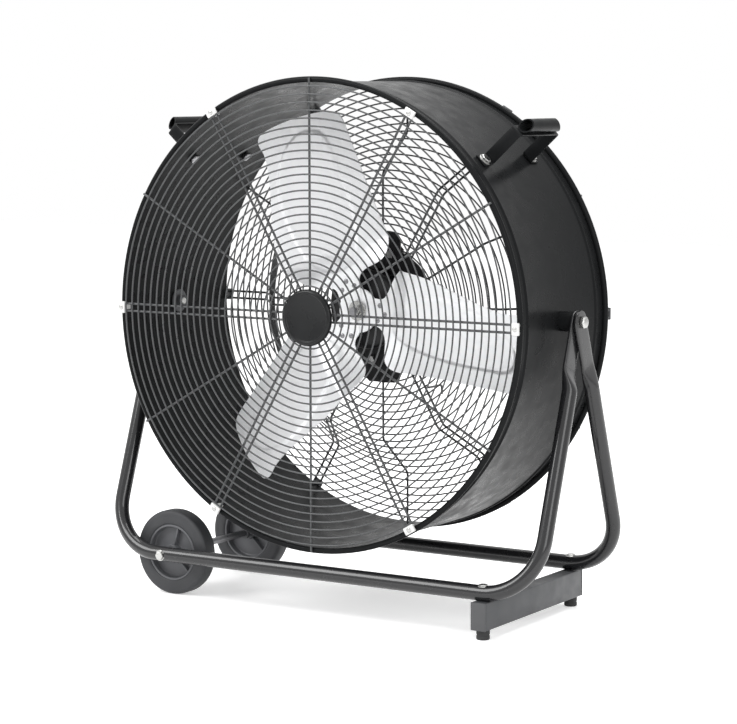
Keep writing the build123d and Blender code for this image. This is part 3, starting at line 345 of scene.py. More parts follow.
def make_material(name, colour, roughness, metallic=0.0, coat=0.0, tint=0.1, tint_scale=9.0,
                  vary=0.08, bump=0.05, grain=700.0, stretch=(1.0, 1.0, 1.0), specular=0.5):
    """Surface with slow colour variation, uneven gloss and a fine grain, all from noise."""
    material = bpy.data.materials.new(name)
    material.use_nodes = True
    tree = material.node_tree
    shader = tree.nodes["Principled BSDF"]
    shader.inputs["Metallic"].default_value = metallic
    shader.inputs["Specular IOR Level"].default_value = specular
    shader.inputs["Coat Weight"].default_value = coat
    shader.inputs["Coat Roughness"].default_value = COAT_ROUGHNESS
    place = tree.nodes.new("ShaderNodeTexCoord")
    mapping = tree.nodes.new("ShaderNodeMapping")
    mapping.inputs["Scale"].default_value = stretch
    tree.links.new(place.outputs["Object"], mapping.inputs["Vector"])

    clouds = noise(tree, mapping, tint_scale, CLOUD_DETAIL)
    mix = tree.nodes.new("ShaderNodeMix")
    mix.data_type = "RGBA"
    mix.inputs[MIX_A].default_value = [c * (1 - tint) for c in colour] + [1.0]
    mix.inputs[MIX_B].default_value = [min(1.0, c * (1 + tint)) for c in colour] + [1.0]
    tree.links.new(clouds, mix.inputs[MIX_FACTOR])
    tree.links.new(mix.outputs[MIX_RESULT], shader.inputs["Base Color"])

    smudges = noise(tree, mapping, tint_scale * 4, SMUDGE_DETAIL)
    gloss = tree.nodes.new("ShaderNodeMapRange")
    gloss.inputs["From Min"].default_value = SMUDGE_RANGE[0]
    gloss.inputs["From Max"].default_value = SMUDGE_RANGE[1]
    gloss.inputs["To Min"].default_value = max(LEAST_ROUGHNESS, roughness - vary)
    gloss.inputs["To Max"].default_value = min(1.0, roughness + vary)
    tree.links.new(smudges, gloss.inputs["Value"])
    tree.links.new(gloss.outputs["Result"], shader.inputs["Roughness"])

    texture = noise(tree, mapping, grain, GRAIN_DETAIL)
    raised = tree.nodes.new("ShaderNodeBump")
    raised.inputs["Strength"].default_value = bump
    raised.inputs["Distance"].default_value = BUMP_DISTANCE
    tree.links.new(texture, raised.inputs["Height"])
    tree.links.new(raised.outputs["Normal"], shader.inputs["Normal"])
    return material


MATERIALS = {
    "drum_paint": make_material("drum_paint", (0.010, 0.0105, 0.011), 0.30, bump=0.08, grain=420,
                                specular=0.05),
    "wire_paint": make_material("wire_paint", (0.050, 0.052, 0.054), 0.34, grain=900),
    "tube_paint": make_material("tube_paint", (0.012, 0.012, 0.013), 0.28, coat=0.60, vary=0.03,
                                bump=0.02, grain=300, specular=0.20),
    "bar_paint": make_material("bar_paint", (0.052, 0.054, 0.058), 0.46, bump=0.12, grain=420),
    "handle_paint": make_material("handle_paint", (0.008, 0.0085, 0.009), 0.34, bump=0.08,
                                  specular=0.08),
    "motor_paint": make_material("motor_paint", (0.006, 0.006, 0.007), 0.48, bump=0.14, grain=500,
                                 specular=0.35),
    "badge_plastic": make_material("badge_plastic", (0.008, 0.0085, 0.009), 0.30, grain=800,
                                   specular=0.20),
    "clip_plastic": make_material("clip_plastic", (0.64, 0.64, 0.63), 0.34, tint=0.03, grain=900),
    "cap_plastic": make_material("cap_plastic", (0.060, 0.061, 0.064), 0.52, bump=0.12),
    "switch_plastic": make_material("switch_plastic", (0.014, 0.014, 0.015), 0.52, bump=0.15),
    "knob_plastic": make_material("knob_plastic", (0.012, 0.012, 0.013), 0.46, bump=0.10),
    "wheel_plastic": make_material("wheel_plastic", (0.096, 0.098, 0.105), 0.50, bump=0.12),
    "foot_rubber": make_material("foot_rubber", (0.022, 0.022, 0.023), 0.76, bump=0.30, grain=900),
    "tyre_rubber": make_material("tyre_rubber", (0.030, 0.031, 0.034), 0.62, bump=0.30, grain=900,
                                 tint=0.18),
    "zinc_steel": make_material("zinc_steel", (0.44, 0.44, 0.43), 0.30, metallic=1.0, tint=0.08,
                                tint_scale=60, bump=0.06),
    "axle_steel": make_material("axle_steel", (0.28, 0.28, 0.29), 0.34, metallic=1.0,
                                tint_scale=50, bump=0.08, stretch=(1.0, 6.0, 1.0)),
    "blade_metal": make_material("blade_metal", (0.93, 0.935, 0.95), 0.34, metallic=0.34,
                                 tint=0.03, tint_scale=5, vary=0.04, bump=0.01, grain=120),
}


# ---- mesh building ----
class Build:
    """Vertices and faces of one piece, gathered shape by shape."""

    def __init__(self):
        self.verts = []
        self.faces = []

    def add(self, verts, faces):
        base = len(self.verts)
        self.verts.extend(Vector(v) for v in verts)
        self.faces.extend([base + i for i in face] for face in faces)


def emit(name, build, body, slot, *replaced, sharp=34.0):
    """One scene piece from a build, riding on a body and standing for the named nodes."""
    mesh = bpy.data.meshes.new(name)
    mesh.from_pydata([v * MM for v in build.verts], [], build.faces)
    work = bmesh.new()
    work.from_mesh(mesh)
    bmesh.ops.recalc_face_normals(work, faces=work.faces)
    for face in work.faces:
        face.smooth = True
    work.to_mesh(mesh)
    work.free()
    mesh.set_sharp_from_angle(angle=radians(sharp))
    mesh.materials.append(MATERIALS[slot])
    piece = bpy.data.objects.new(name, mesh)
    bpy.context.scene.collection.objects.link(piece)
    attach(piece, body)
    if replaced:
        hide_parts(*replaced)
    return piece


def side_of(axis):
    """Two unit vectors square to an axis and to each other."""
    helper = Z_DIR if abs(axis.z) < 0.9 else X_DIR
    first = axis.cross(helper).normalized()
    return first, axis.cross(first).normalized()


def around(angle):
    """Radial and tangential directions in the drum's plane; the angle runs from +X to +Z."""
    a = radians(angle)
    return Vector((cos(a), 0, sin(a))), Vector((-sin(a), 0, cos(a)))


def band(low, high, sides):
    """Quads between two rings of vertices, given by their numbers."""
    quads = []
    for k in range(sides):
        n = (k + 1) % sides
        quads.append([low * sides + k, low * sides + n, high * sides + n, high * sides + k])
    return quads


def barrel(start, end, radius, bore=0.0, edges=(0.0, 0.0)):
    """Profile of a round piece with a chamfer on the rim of each end."""
    ahead = 1 if end > start else -1
    rim = [(start, radius - edges[0]), (start + ahead * edges[0], radius),
           (end - ahead * edges[1], radius), (end, radius - edges[1])]
    return [(start, bore)] + list(dict.fromkeys(rim)) + [(end, bore)]


def mirrored(half):
    """A half profile and its mirror image, for a piece that is alike on both sides."""
    return list(half) + [(-along, radius) for along, radius in half[::-1] if along]


def lathe(build, profile, origin, axis, segments):
    """A profile turned about an axis. It closes on itself, or is solid if it ends on the axis."""
    first, second = side_of(axis)
    verts = []
    rows = []
    for along, radius in profile:
        row = []
        steps = segments if radius > ON_AXIS else 1
        for i in range(steps):
            turn = 2 * pi * i / segments
            out = first * (radius * cos(turn)) + second * (radius * sin(turn))
            row.append(len(verts))
            verts.append(origin + axis * along + out)
        rows.append(row)
    faces = []
    for low, high in zip(rows, rows[1:] + rows[:1]):
        for i in range(segments):
            corners = [low[i % len(low)], low[(i + 1) % len(low)],
                       high[(i + 1) % len(high)], high[i % len(high)]]
            unique = list(dict.fromkeys(corners))
            if len(unique) > 2:
                faces.append(unique)
    build.add(verts, faces)


def rounded(points, radius, steps=6):
    """A polyline with its inner corners rounded."""
    points = [Vector(p) for p in points]
    path = [points[0]]
    for before, corner, after in zip(points, points[1:], points[2:]):
        back = (before - corner).normalized()
        ahead = (after - corner).normalized()
        half = back.angle(ahead) / 2
        reach = min(radius / tan(half), MOST_REACH * (before - corner).length,
                    MOST_REACH * (after - corner).length)
        start, end = corner + back * reach, corner + ahead * reach
        for i in range(steps + 1):
            t = i / steps
            path.append(start * (1 - t) ** 2 + corner * 2 * t * (1 - t) + end * t ** 2)
    path.append(points[-1])
    return path


def wire(build, points, radius, sides):
    """Round wire along a path, with closed ends."""
    points = [Vector(p) for p in points]
    first, _ = side_of((points[1] - points[0]).normalized())
    verts = []
    for i, point in enumerate(points):
        ahead = points[min(i + 1, len(points) - 1)] - points[max(i - 1, 0)]
        ahead.normalize()
        first = (first - ahead * first.dot(ahead)).normalized()
        second = ahead.cross(first)
        for k in range(sides):
            turn = 2 * pi * k / sides
            verts.append(point + first * (radius * cos(turn)) + second * (radius * sin(turn)))
    faces = []
    for i in range(len(points) - 1):
        faces += band(i, i + 1, sides)
    faces.append(list(range(sides))[::-1])
    faces.append([len(verts) - sides + k for k in range(sides)])
    build.add(verts, faces)


def prism(build, outline, origin, across, up, depth, edge=0.5):
    """A flat outline given depth along across x up, its edges slightly rounded."""
    normal = across.cross(up)
    work = bmesh.new()
    low = [work.verts.new(origin + across * x + up * y) for x, y in outline]
    high = [work.verts.new(v.co + normal * depth) for v in low]
    work.faces.new(low)
    work.faces.new(high[::-1])
    for i in range(len(low)):
        j = (i + 1) % len(low)
        work.faces.new([low[i], low[j], high[j], high[i]])
    bmesh.ops.recalc_face_normals(work, faces=work.faces)
    edges = [e for e in work.edges if e.calc_face_angle(0) > radians(25)]
    bmesh.ops.bevel(work, geom=edges, offset=edge, segments=2, profile=0.5, affect="EDGES")
    work.verts.index_update()
    build.add([v.co.copy() for v in work.verts], [[v.index for v in f.verts] for f in work.faces])
    work.free()


def block(build, centre, across, up, size, edge=0.5):
    """A rounded block, centred on a point; its size runs along across, up and across x up."""
    width, height, depth = size
    outline = ((-width / 2, -height / 2), (width / 2, -height / 2),
               (width / 2, height / 2), (-width / 2, height / 2))
    normal = across.cross(up)
    prism(build, outline, centre - normal * (depth / 2), across, up, depth, edge)


def hex_head(build, base, axis, radius, height, washer=0.0):
    """Hexagon bolt head or nut with a chamfered top, on a washer where that has a radius."""
    if washer:
        profile = ((0, 0), (0, washer - WASHER_EDGE), (WASHER_EDGE, washer),
                   (WASHER_T - WASHER_EDGE, washer), (WASHER_T, washer - WASHER_TOP_EDGE),
                   (WASHER_T, 0))
        lathe(build, profile, base, axis, segments=32)
        base = base + axis * WASHER_T
        height -= WASHER_T
    first, second = side_of(axis)
    verts = []
    for level, share in HEX_ROWS:
        for k in range(HEX_SIDES):
            turn = 2 * pi / HEX_SIDES * k
            out = first * (radius * share * cos(turn)) + second * (radius * share * sin(turn))
            verts.append(base + axis * (height * level) + out)
    faces = []
    for row in range(len(HEX_ROWS) - 1):
        faces += band(row, row + 1, HEX_SIDES)
    faces.append(list(range(HEX_SIDES)))
    faces.append(list(range(len(verts) - HEX_SIDES, len(verts))))
    build.add(verts, faces)


def dome(build, base, axis, radius, height, segments=20):
    """Low round head, as on a rivet or screw."""
    profile = [(0, 0), (0, radius)]
    for i in range(1, DOME_STEPS):
        turn = pi / 2 * i / DOME_STEPS
        profile.append((height * sin(turn), radius * cos(turn)))
    profile.append((height, 0))
    lathe(build, profile, base, axis, segments)


def ease(t):
    """0 to 1, starting and ending gently; a number outside that range is moved to its end."""
    t = max(0.0, min(1.0, t))
    return t * t * (3 - 2 * t)


# ---- drum ----
def bead(side):
    """Profile of the rolled end of the drum."""
    arc = []
    for i in range(BEAD_STEPS + 1):
        turn = radians(-90 + BEAD_SWEEP * i / BEAD_STEPS)
        arc.append((side * (BEAD_Y + BEAD_R * cos(turn)), BEAD_CENTRE_R + BEAD_R * sin(turn)))
    return arc


def swage(side):
    """Profile of the stiffening rib pressed out of the drum's wall."""
    bump = []
    for i in range(SWAGE_STEPS + 1):
        t = i / SWAGE_STEPS
        y = SWAGE_Y + SWAGE_HALF * (1 - 2 * t)
        bump.append((side * y, WALL_R + SWAGE_HEIGHT * cos(pi * (t - 0.5)) ** 2))
    return bump


def make_drum():
    """Sheet drum with two swages and two rolled ends."""
    profile = bead(1) + swage(1) + swage(-1)[::-1] + bead(-1)[::-1]
    build = Build()
    lathe(build, profile, DRUM_CENTRE, Y_DIR, DRUM_SEGMENTS)
    emit("drum_sheet", build, "drum", "drum_paint", "drum_shell", sharp=60)


# ---- guards ----
def ring(build, y, r):
    """One ring wire of a guard."""
    profile = []
    for k in range(RING_SIDES):
        turn = 2 * pi * k / RING_SIDES
        profile.append((y + RING_R * cos(turn), r + RING_R * sin(turn)))
    segments = SMALL_RING_SEGMENTS if r < SMALL_RING_BELOW else RING_SEGMENTS
    lathe(build, profile, DRUM_CENTRE, Y_DIR, segments)


def rear_ring_y(r):
    """Place of a rear ring along Y: on the dish's floor, on its slope or outside it."""
    if r < DISH_INNER_R:
        return DISH_Y + RING_SEAT
    if r < DISH_OUTER_R:
        return DISH_Y + RING_SEAT + (r - DISH_INNER_R + SLOPE_REACH) * DISH_SLOPE
    return SPOKE_Y + RING_SEAT


def spoke_shifts():
    """Angle and sideways shift of every spoke."""
    for angle in PAIR_ANGLES:
        yield angle, -PAIR_SHIFT
        yield angle, PAIR_SHIFT
    for angle in SINGLE_ANGLES:
        yield angle, 0.0


def make_guards():
    """Rings and spokes of both guards; the rear spokes are bent into a dish."""
    radii = [RING_FIRST + RING_PITCH * i for i in range(RING_COUNT)]
    front = Build()
    for r in radii:
        ring(front, -(SPOKE_Y + RING_SEAT), r)
    emit("front_ring_wires", front, "drum", "wire_paint", "front_guard_rings", sharp=60)
    rear = Build()
    for r in radii:
        ring(rear, rear_ring_y(r), r)
    emit("rear_ring_wires", rear, "drum", "wire_paint", "rear_guard_centre_rings",
         "rear_guard_outer_rings", sharp=60)
    spokes = Build()
    dished = Build()
    dish = ((REAR_SPOKE_START, DISH_Y), (DISH_INNER_R, DISH_Y), (DISH_OUTER_R, SPOKE_Y),
            (SPOKE_END_R, SPOKE_Y))
    for angle, shift in spoke_shifts():
        out, along = around(angle)
        middle = DRUM_CENTRE + along * shift
        wire(spokes, [middle + out * FRONT_SPOKE_START - Y_DIR * SPOKE_Y,
                      middle + out * SPOKE_END_R - Y_DIR * SPOKE_Y], SPOKE_R, SPOKE_SIDES)
        path = rounded([middle + out * r + Y_DIR * y for r, y in dish], DISH_BEND)
        wire(dished, path, SPOKE_R, SPOKE_SIDES)
    emit("front_spoke_wires", spokes, "drum", "wire_paint", "front_guard_spokes", sharp=60)
    emit("rear_spoke_wires", dished, "drum", "wire_paint", "rear_guard_spokes", sharp=60)


def make_badge():
    """Bare centre disc of the front guard, with a rolled lip."""
    build = Build()
    profile = [(BADGE_BACK_Y - depth, radius) for depth, radius in BADGE_PROFILE]
    lathe(build, profile, DRUM_CENTRE, Y_DIR, segments=96)
    emit("badge_disc", build, "drum", "badge_plastic", "front_badge", sharp=50)


def make_clips(side, name, slot, node):
    """Clips that hold one guard on the drum's bead, each with its screw."""
    clips, screws = Build(), Build()
    for angle in PAIR_ANGLES:
        out, along = around(angle)
        face = DRUM_CENTRE + Y_DIR * (side * CLIP_Y)
        block(clips, face + out * CLIP_R, out, along, CLIP_SIZE, edge=1.1)
        leg = face + out * CLIP_LEG_R - Y_DIR * (side * CLIP_LEG_IN)
        block(clips, leg, out, along, CLIP_LEG_SIZE)
        seat = face + out * SCREW_AT_R + Y_DIR * (side * SCREW_OUT)
        dome(screws, seat, Y_DIR * side, SCREW_R, SCREW_HEIGHT)
    emit(name, clips, "drum", slot, node)
    emit(name + "_screws", screws, "drum", "zinc_steel")


# ---- motor ----
def make_motor():
    """Finned can and front end shield."""
    can = Build()
    lathe(can, barrel(CAN_FRONT_Y, CAN_BACK_Y, CAN_R, edges=(1, 1)), DRUM_CENTRE, Y_DIR,
          segments=96)
    size = (FIN_HEIGHT, CAN_BACK_Y - CAN_FRONT_Y, FIN_T)
    for i in range(FIN_COUNT):
        out, _ = around(360 / FIN_COUNT * i)
        centre = DRUM_CENTRE + out * CAN_R + Y_DIR * ((CAN_FRONT_Y + CAN_BACK_Y) / 2)
        block(can, centre, out, Y_DIR, size, edge=0.8)
    emit("motor_can", can, "drum", "motor_paint", "motor_body")
    shield = Build()
    lathe(shield, SHIELD_PROFILE, DRUM_CENTRE, Y_DIR, segments=96)
    emit("motor_shield", shield, "drum", "motor_paint", "motor_end_shield")


def make_switch_parts():
    """Speed knob and the empty cable gland."""
    knob = Build()
    lathe(knob, KNOB_PROFILE, DRUM_CENTRE, Y_DIR, segments=64)
    block(knob, DRUM_CENTRE + Y_DIR * KNOB_GRIP_Y, X_DIR, Z_DIR, KNOB_GRIP_SIZE, edge=2.0)
    emit("speed_dial", knob, "speed_knob", "knob_plastic", "switch_knob")
    gland = Build()
    hex_head(gland, GLAND_TOP, -Z_DIR, GLAND_HEX_R, GLAND_HEX)
    lathe(gland, GLAND_PROFILE, GLAND_TOP, -Z_DIR, segments=40)
    emit("cable_inlet", gland, "drum", "switch_plastic", "cable_gland")


def make_hooks():
    """Cord hooks behind the rear guard: one turns back on itself, one is plain."""
    hooks = Build()
    for height, reach, drop, back in HOOKS:
        end = HOOK_BASE_Y + reach
        path = [(HOOK_START_Y, 0), (end, 0), (end, -drop)]
        if back:
            path.append((end - back, -drop))
        points = [Vector((HOOK_X, y, AXIS_Z + height + z)) for y, z in path]
        wire(hooks, rounded(points, HOOK_BEND), HOOK_R, sides=12)
    emit("hook_wires", hooks, "drum", "wire_paint", "cord_hooks", sharp=60)


# ---- rotor ----
def chaikin(points, times=2):
    """A closed outline with its corners cut back, so that it runs in curves."""
    keep = 1 - CORNER_CUT
    for _ in range(times):
        cut = []
        for a, b in zip(points, points[1:] + points[:1]):
            cut.append((a[0] * keep + b[0] * CORNER_CUT, a[1] * keep + b[1] * CORNER_CUT))
            cut.append((a[0] * CORNER_CUT + b[0] * keep, a[1] * CORNER_CUT + b[1] * keep))
        points = cut
    return points


def crossings(outline, v):
    """Lowest and highest u at which an outline crosses a height v within its reach."""
    found = []
    for a, b in zip(outline, outline[1:] + outline[:1]):
        if (a[1] - v) * (b[1] - v) <= 0 and a[1] != b[1]:
            found.append(a[0] + (b[0] - a[0]) * (v - a[1]) / (b[1] - a[1]))
    return min(found), max(found)


def inside_depth(outline, u, v):
    """How far a point lies inside an outline; 0 outside it."""
    inside = False
    nearest = float("inf")
    for a, b in zip(outline, outline[1:] + outline[:1]):
        du, dv = b[0] - a[0], b[1] - a[1]
        if (a[1] > v) != (b[1] > v) and u < a[0] + du * (v - a[1]) / dv:
            inside = not inside
        t = max(0.0, min(1.0, ((u - a[0]) * du + (v - a[1]) * dv) / (du * du + dv * dv)))
        nearest = min(nearest, hypot(u - a[0] - t * du, v - a[1] - t * dv))
    return nearest if inside else 0.0


def blade_point(angle, u, v, lift):
    """Place of a point of the blade's flat pattern, lifted towards the front."""
    a = radians(angle)
    turned = ease((v - TWIST_START) / (TWIST_END - TWIST_START))
    y = BLADE_NECK_Y - lift + turned * (BLADE_SET + u * BLADE_SLOPE)
    return Vector((u * sin(a) + v * cos(a), y, AXIS_Z - u * cos(a) + v * sin(a)))


def blade_rows(outline):
    """Heights at which the blade is cut into rows, one at each point of its outline."""
    low = min(p[1] for p in outline) + ROW_INSET
    high = max(p[1] for p in outline) - ROW_INSET
    marks = {low, high}
    marks.update(p[1] for p in outline if low < p[1] < high)
    marks = sorted(marks)
    rows = [marks[0]]
    for mark in marks[1:]:
        start = rows[-1]
        gap = mark - start
        if gap < ROW_MERGE and mark < high:
            continue
        parts = max(1, int(gap / BLADE_ROW_STEP + 0.5))
        rows.extend(start + gap * (i + 1) / parts for i in range(parts))
    return rows


def blade_grid():
    """Rows of (u, v, lift) points over the blade, lifted on its pressed panel."""
    outline = chaikin(list(BLADE_OUTLINE))
    panel = chaikin(list(PANEL_OUTLINE))
    grid = []
    for v in blade_rows(outline):
        left, right = crossings(outline, v)
        line = []
        for i in range(BLADE_COLUMNS + 1):
            u = left + (right - left) * i / BLADE_COLUMNS
            line.append((u, v, PANEL_HEIGHT * ease(inside_depth(panel, u, v) / PANEL_EDGE)))
        grid.append(line)
    return grid


def sheet_faces(rows, width):
    """Faces of a sheet: two grids of rows x width points, joined round their rim."""
    count = rows * width
    faces = []
    for r in range(rows - 1):
        for c in range(width - 1):
            a = r * width + c
            quad = [a, a + 1, a + 1 + width, a + width]
            faces.append(quad)
            faces.append([count + i for i in quad[::-1]])
    rim = list(range(width))
    rim += [r * width + width - 1 for r in range(1, rows)]
    rim += [(rows - 1) * width + c for c in range(width - 2, -1, -1)]
    rim += [r * width for r in range(rows - 2, 0, -1)]
    for a, b in zip(rim, rim[1:] + rim[:1]):
        faces.append([a, b, count + b, count + a])
    return faces


def make_blades():
    """Three pressed sheet blades, alike but for their angle."""
    grid = blade_grid()
    faces = sheet_faces(len(grid), BLADE_COLUMNS + 1)
    for index, angle in enumerate(BLADE_ANGLES):
        verts = []
        for side in (1, -1):
            for line in grid:
                for u, v, lift in line:
                    verts.append(blade_point(angle, u, v, lift + side * SHEET_HALF))
        build = Build()
        build.add(verts, faces)
        emit(f"blade_{index + 1}", build, "fan", "blade_metal", f"fan_blade_{index + 1}", sharp=50)


def make_hub():
    """Hub casting and the spider plate that carries the blades."""
    hub = Build()
    lathe(hub, HUB_PROFILE, DRUM_CENTRE, Y_DIR, segments=64)
    emit("hub_casting", hub, "fan", "axle_steel", "fan_hub")
    spider = Build()
    lathe(spider, barrel(SPIDER_FRONT_Y, SPIDER_BACK_Y, SPIDER_R, ROTOR_BORE_R,
                         (RIM_EDGE, RIM_EDGE)), DRUM_CENTRE, Y_DIR, segments=80)
    middle_y = (SPIDER_FRONT_Y + SPIDER_BACK_Y) / 2
    for angle in BLADE_ANGLES:
        out, along = around(angle)
        arm = DRUM_CENTRE + out * SPIDER_R + along * NECK_SHIFT + Y_DIR * middle_y
        block(spider, arm, out, along, ARM_SIZE)
    emit("spider_plate", spider, "fan", "blade_metal", "fan_spider")


def make_shaft():
    """Shaft nut with its washer, shaft and blade rivets."""
    nut = Build()
    front = DRUM_CENTRE - Y_DIR * NUT_SEAT_Y
    lathe(nut, barrel(0, HUB_WASHER_T, HUB_WASHER_R, ROTOR_BORE_R, (RIM_EDGE, RIM_EDGE)),
          front, -Y_DIR, segments=48)
    hex_head(nut, front - Y_DIR * HUB_WASHER_T, -Y_DIR, HUB_NUT_R, HUB_NUT)
    emit("shaft_nut", nut, "fan", "zinc_steel", "hub_nut")
    shaft = Build()
    lathe(shaft, barrel(CAN_FRONT_Y, SHAFT_TIP_Y, SHAFT_R, edges=(0, SHAFT_TIP_EDGE)),
          DRUM_CENTRE, Y_DIR, segments=40)
    emit("shaft_rod", shaft, "fan", "axle_steel", "motor_shaft")
    rivets = Build()
    for angle in BLADE_ANGLES:
        for u, v in RIVETS:
            seat = blade_point(angle, u, v, SHEET_HALF)
            dome(rivets, seat, -Y_DIR, RIVET_R, RIVET_HEIGHT)
    emit("blade_rivet_heads", rivets, "fan", "axle_steel")


# ---- handles ----
def make_strap(name, middle, out):
    """Bent strap of one handle: two feet, two legs and the bar under its grip."""
    corners = ((STRAP_FOOT_R, -STRAP_FOOT_HALF), (STRAP_FOOT_R, -STRAP_LEG_HALF),
               (STRAP_TOP_R, -STRAP_LEG_HALF), (STRAP_TOP_R, STRAP_LEG_HALF),
               (STRAP_FOOT_R, STRAP_LEG_HALF), (STRAP_FOOT_R, STRAP_FOOT_HALF))
    path = rounded([Vector((r, y, 0)) for r, y in corners], STRAP_BEND, STRAP_BEND_STEPS)
    left, right = [], []
    for i, p in enumerate(path):
        ahead = (path[min(i + 1, len(path) - 1)] - path[max(i - 1, 0)]).normalized()
        left.append((p.x - ahead.y * STRAP_HALF_T, p.y + ahead.x * STRAP_HALF_T))
        right.append((p.x + ahead.y * STRAP_HALF_T, p.y - ahead.x * STRAP_HALF_T))
    strap = Build()
    normal = out.cross(Y_DIR)
    prism(strap, left + right[::-1], middle - normal * STRAP_HALF_WIDTH, out, Y_DIR,
          2 * STRAP_HALF_WIDTH, edge=0.6)
    emit(f"handle_strap_{name}", strap, "drum", "handle_paint", f"handle_{name}", sharp=40)


def make_grip(name, middle, out, along):
    """Hollow grip of one handle, its ends slanted back towards the top."""
    verts = []
    for end in (-1, 1):
        for r in (GRIP_R, GRIP_R - GRIP_WALL):
            for k in range(GRIP_SIDES):
                turn = 2 * pi * k / GRIP_SIDES
                high = (GRIP_R + r * cos(turn)) / (2 * GRIP_R)
                y = end * (GRIP_HALF - GRIP_SLANT * high)
                ray = out * (GRIP_AT_R + r * cos(turn)) + along * (r * sin(turn))
                verts.append(middle + ray + Y_DIR * y)
    near_outer, near_inner, far_outer, far_inner = range(4)
    faces = (band(near_outer, far_outer, GRIP_SIDES) + band(far_outer, far_inner, GRIP_SIDES)
             + band(far_inner, near_inner, GRIP_SIDES) + band(near_inner, near_outer, GRIP_SIDES))
    grip = Build()
    grip.add(verts, faces)
    emit(f"grip_roll_{name}", grip, "drum", "handle_paint", f"handle_grip_{name}", sharp=40)


def make_handles():
    """Both handles with their bolts outside the drum and their nuts inside it."""
    bolts, nuts = Build(), Build()
    for name, angle in HANDLE_ANGLES:
        out, along = around(angle)
        middle = DRUM_CENTRE + Y_DIR * HANDLE_Y
        make_strap(name, middle, out)
        make_grip(name, middle, out, along)
        for y in (HANDLE_BOLT_Y, -HANDLE_BOLT_Y):
            base = middle + Y_DIR * y
            hex_head(bolts, base + out * (STRAP_FOOT_R + STRAP_HALF_T), out, HANDLE_HEAD_R,
                     HANDLE_HEAD, HANDLE_WASHER_R)
            hex_head(nuts, base + out * NUT_SEAT_R, -out, HANDLE_HEAD_R, HANDLE_HEAD)
    emit("handle_bolt_heads", bolts, "drum", "zinc_steel", "handle_bolts")
    emit("handle_lock_nuts", nuts, "drum", "axle_steel")


# ---- pivots ----
def make_pivots():
    """Spacers, bolts and large nuts that hang the drum in its stand."""
    spacers, bolts, nuts = Build(), Build(), Build()
    spacer = barrel(SPACER_START, SPACER_END, SPACER_R, PIVOT_BORE_R, (0, SPACER_EDGE))
    washer_end = NUT_SEAT_R - PIVOT_WASHER_T
    washer = barrel(NUT_SEAT_R, washer_end, PIVOT_WASHER_R, PIVOT_BORE_R, (RIM_EDGE, RIM_EDGE))
    for side in (-1, 1):
        axis = X_DIR * side
        lathe(spacers, spacer, DRUM_CENTRE, axis, segments=56)
        hex_head(bolts, DRUM_CENTRE + axis * PIVOT_HEAD_X, axis, PIVOT_HEAD_R, PIVOT_HEAD)
        dome(bolts, DRUM_CENTRE + axis * PIVOT_DOME_X, axis, PIVOT_DOME_R, PIVOT_DOME, 40)
        lathe(bolts, PIVOT_SHANK_PROFILE, DRUM_CENTRE, axis, segments=32)
        lathe(nuts, washer, DRUM_CENTRE, axis, segments=56)
        hex_head(nuts, DRUM_CENTRE + axis * washer_end, -axis, PIVOT_HEAD_R, PIVOT_NUT)
    emit("pivot_sleeves", spacers, "drum", "drum_paint", "pivot_spacers")
    emit("pivot_bolt_heads", bolts, "drum", "zinc_steel", "pivot_bolts")
    emit("pivot_lock_nuts", nuts, "drum", "bar_paint", "pivot_nuts")


# ---- stand ----
def squircle(turn, power):
    """Cosine and sine of a turn, squared up towards a box as the power grows past 2."""
    c, s = cos(turn), sin(turn)
    return (abs(c) ** (2 / power) * (1 if c >= 0 else -1),
            abs(s) ** (2 / power) * (1 if s >= 0 else -1))


def leg_up(side):
    """Direction up one of the two tubes' legs, which lean towards the pivots."""
    return Vector((0, -side * sin(LEG_SLOPE), cos(LEG_SLOPE)))


def tube_leg_stations(side, hand):
    """Sections of one leg from its flat tip down and round its bend. Each is a centre, an
    outward direction, half the thickness that way, half the width across and a power."""
    up = leg_up(side)
    out = X_DIR * hand
    flat_x = FRONT_FLAT_X if side < 0 else REAR_FLAT_X
    stations = []
    for down in FLAT_PLACES:
        width = sqrt(FLAT_HALF_W ** 2 - down ** 2) if down < 0 else FLAT_HALF_W
        centre = Vector((hand * flat_x, 0, AXIS_Z)) - up * down
        stations.append((centre, out, FLAT_HALF_T, width, FLAT_POWER))
    for i in range(1, FLATTEN_STEPS + 1):
        t = i / FLATTEN_STEPS
        share = ease(t)
        down = FLAT_END + (ROUND_START - FLAT_END) * t
        x = flat_x + (LEG_X - flat_x) * share
        centre = Vector((hand * x, 0, AXIS_Z)) - up * down
        stations.append((centre, out, FLAT_HALF_T + (TUBE_R - FLAT_HALF_T) * share,
                         FLAT_HALF_W + (TUBE_R - FLAT_HALF_W) * share,
                         FLAT_POWER + (ROUND_POWER - FLAT_POWER) * share))
    for i in range(1, LEG_STEPS):
        down = ROUND_START + (LEG_LENGTH - BEND_R - ROUND_START) * i / LEG_STEPS
        centre = Vector((hand * LEG_X, 0, AXIS_Z)) - up * down
        stations.append((centre, out, TUBE_R, TUBE_R, ROUND_POWER))
    middle = Vector((hand * (LEG_X - BEND_R), 0, AXIS_Z)) - up * (LEG_LENGTH - BEND_R)
    for i in range(BEND_STEPS + 1):
        turn = radians(90 * i / BEND_STEPS)
        away = out * cos(turn) - up * sin(turn)
        stations.append((middle + away * BEND_R, away, TUBE_R, TUBE_R, ROUND_POWER))
    return stations


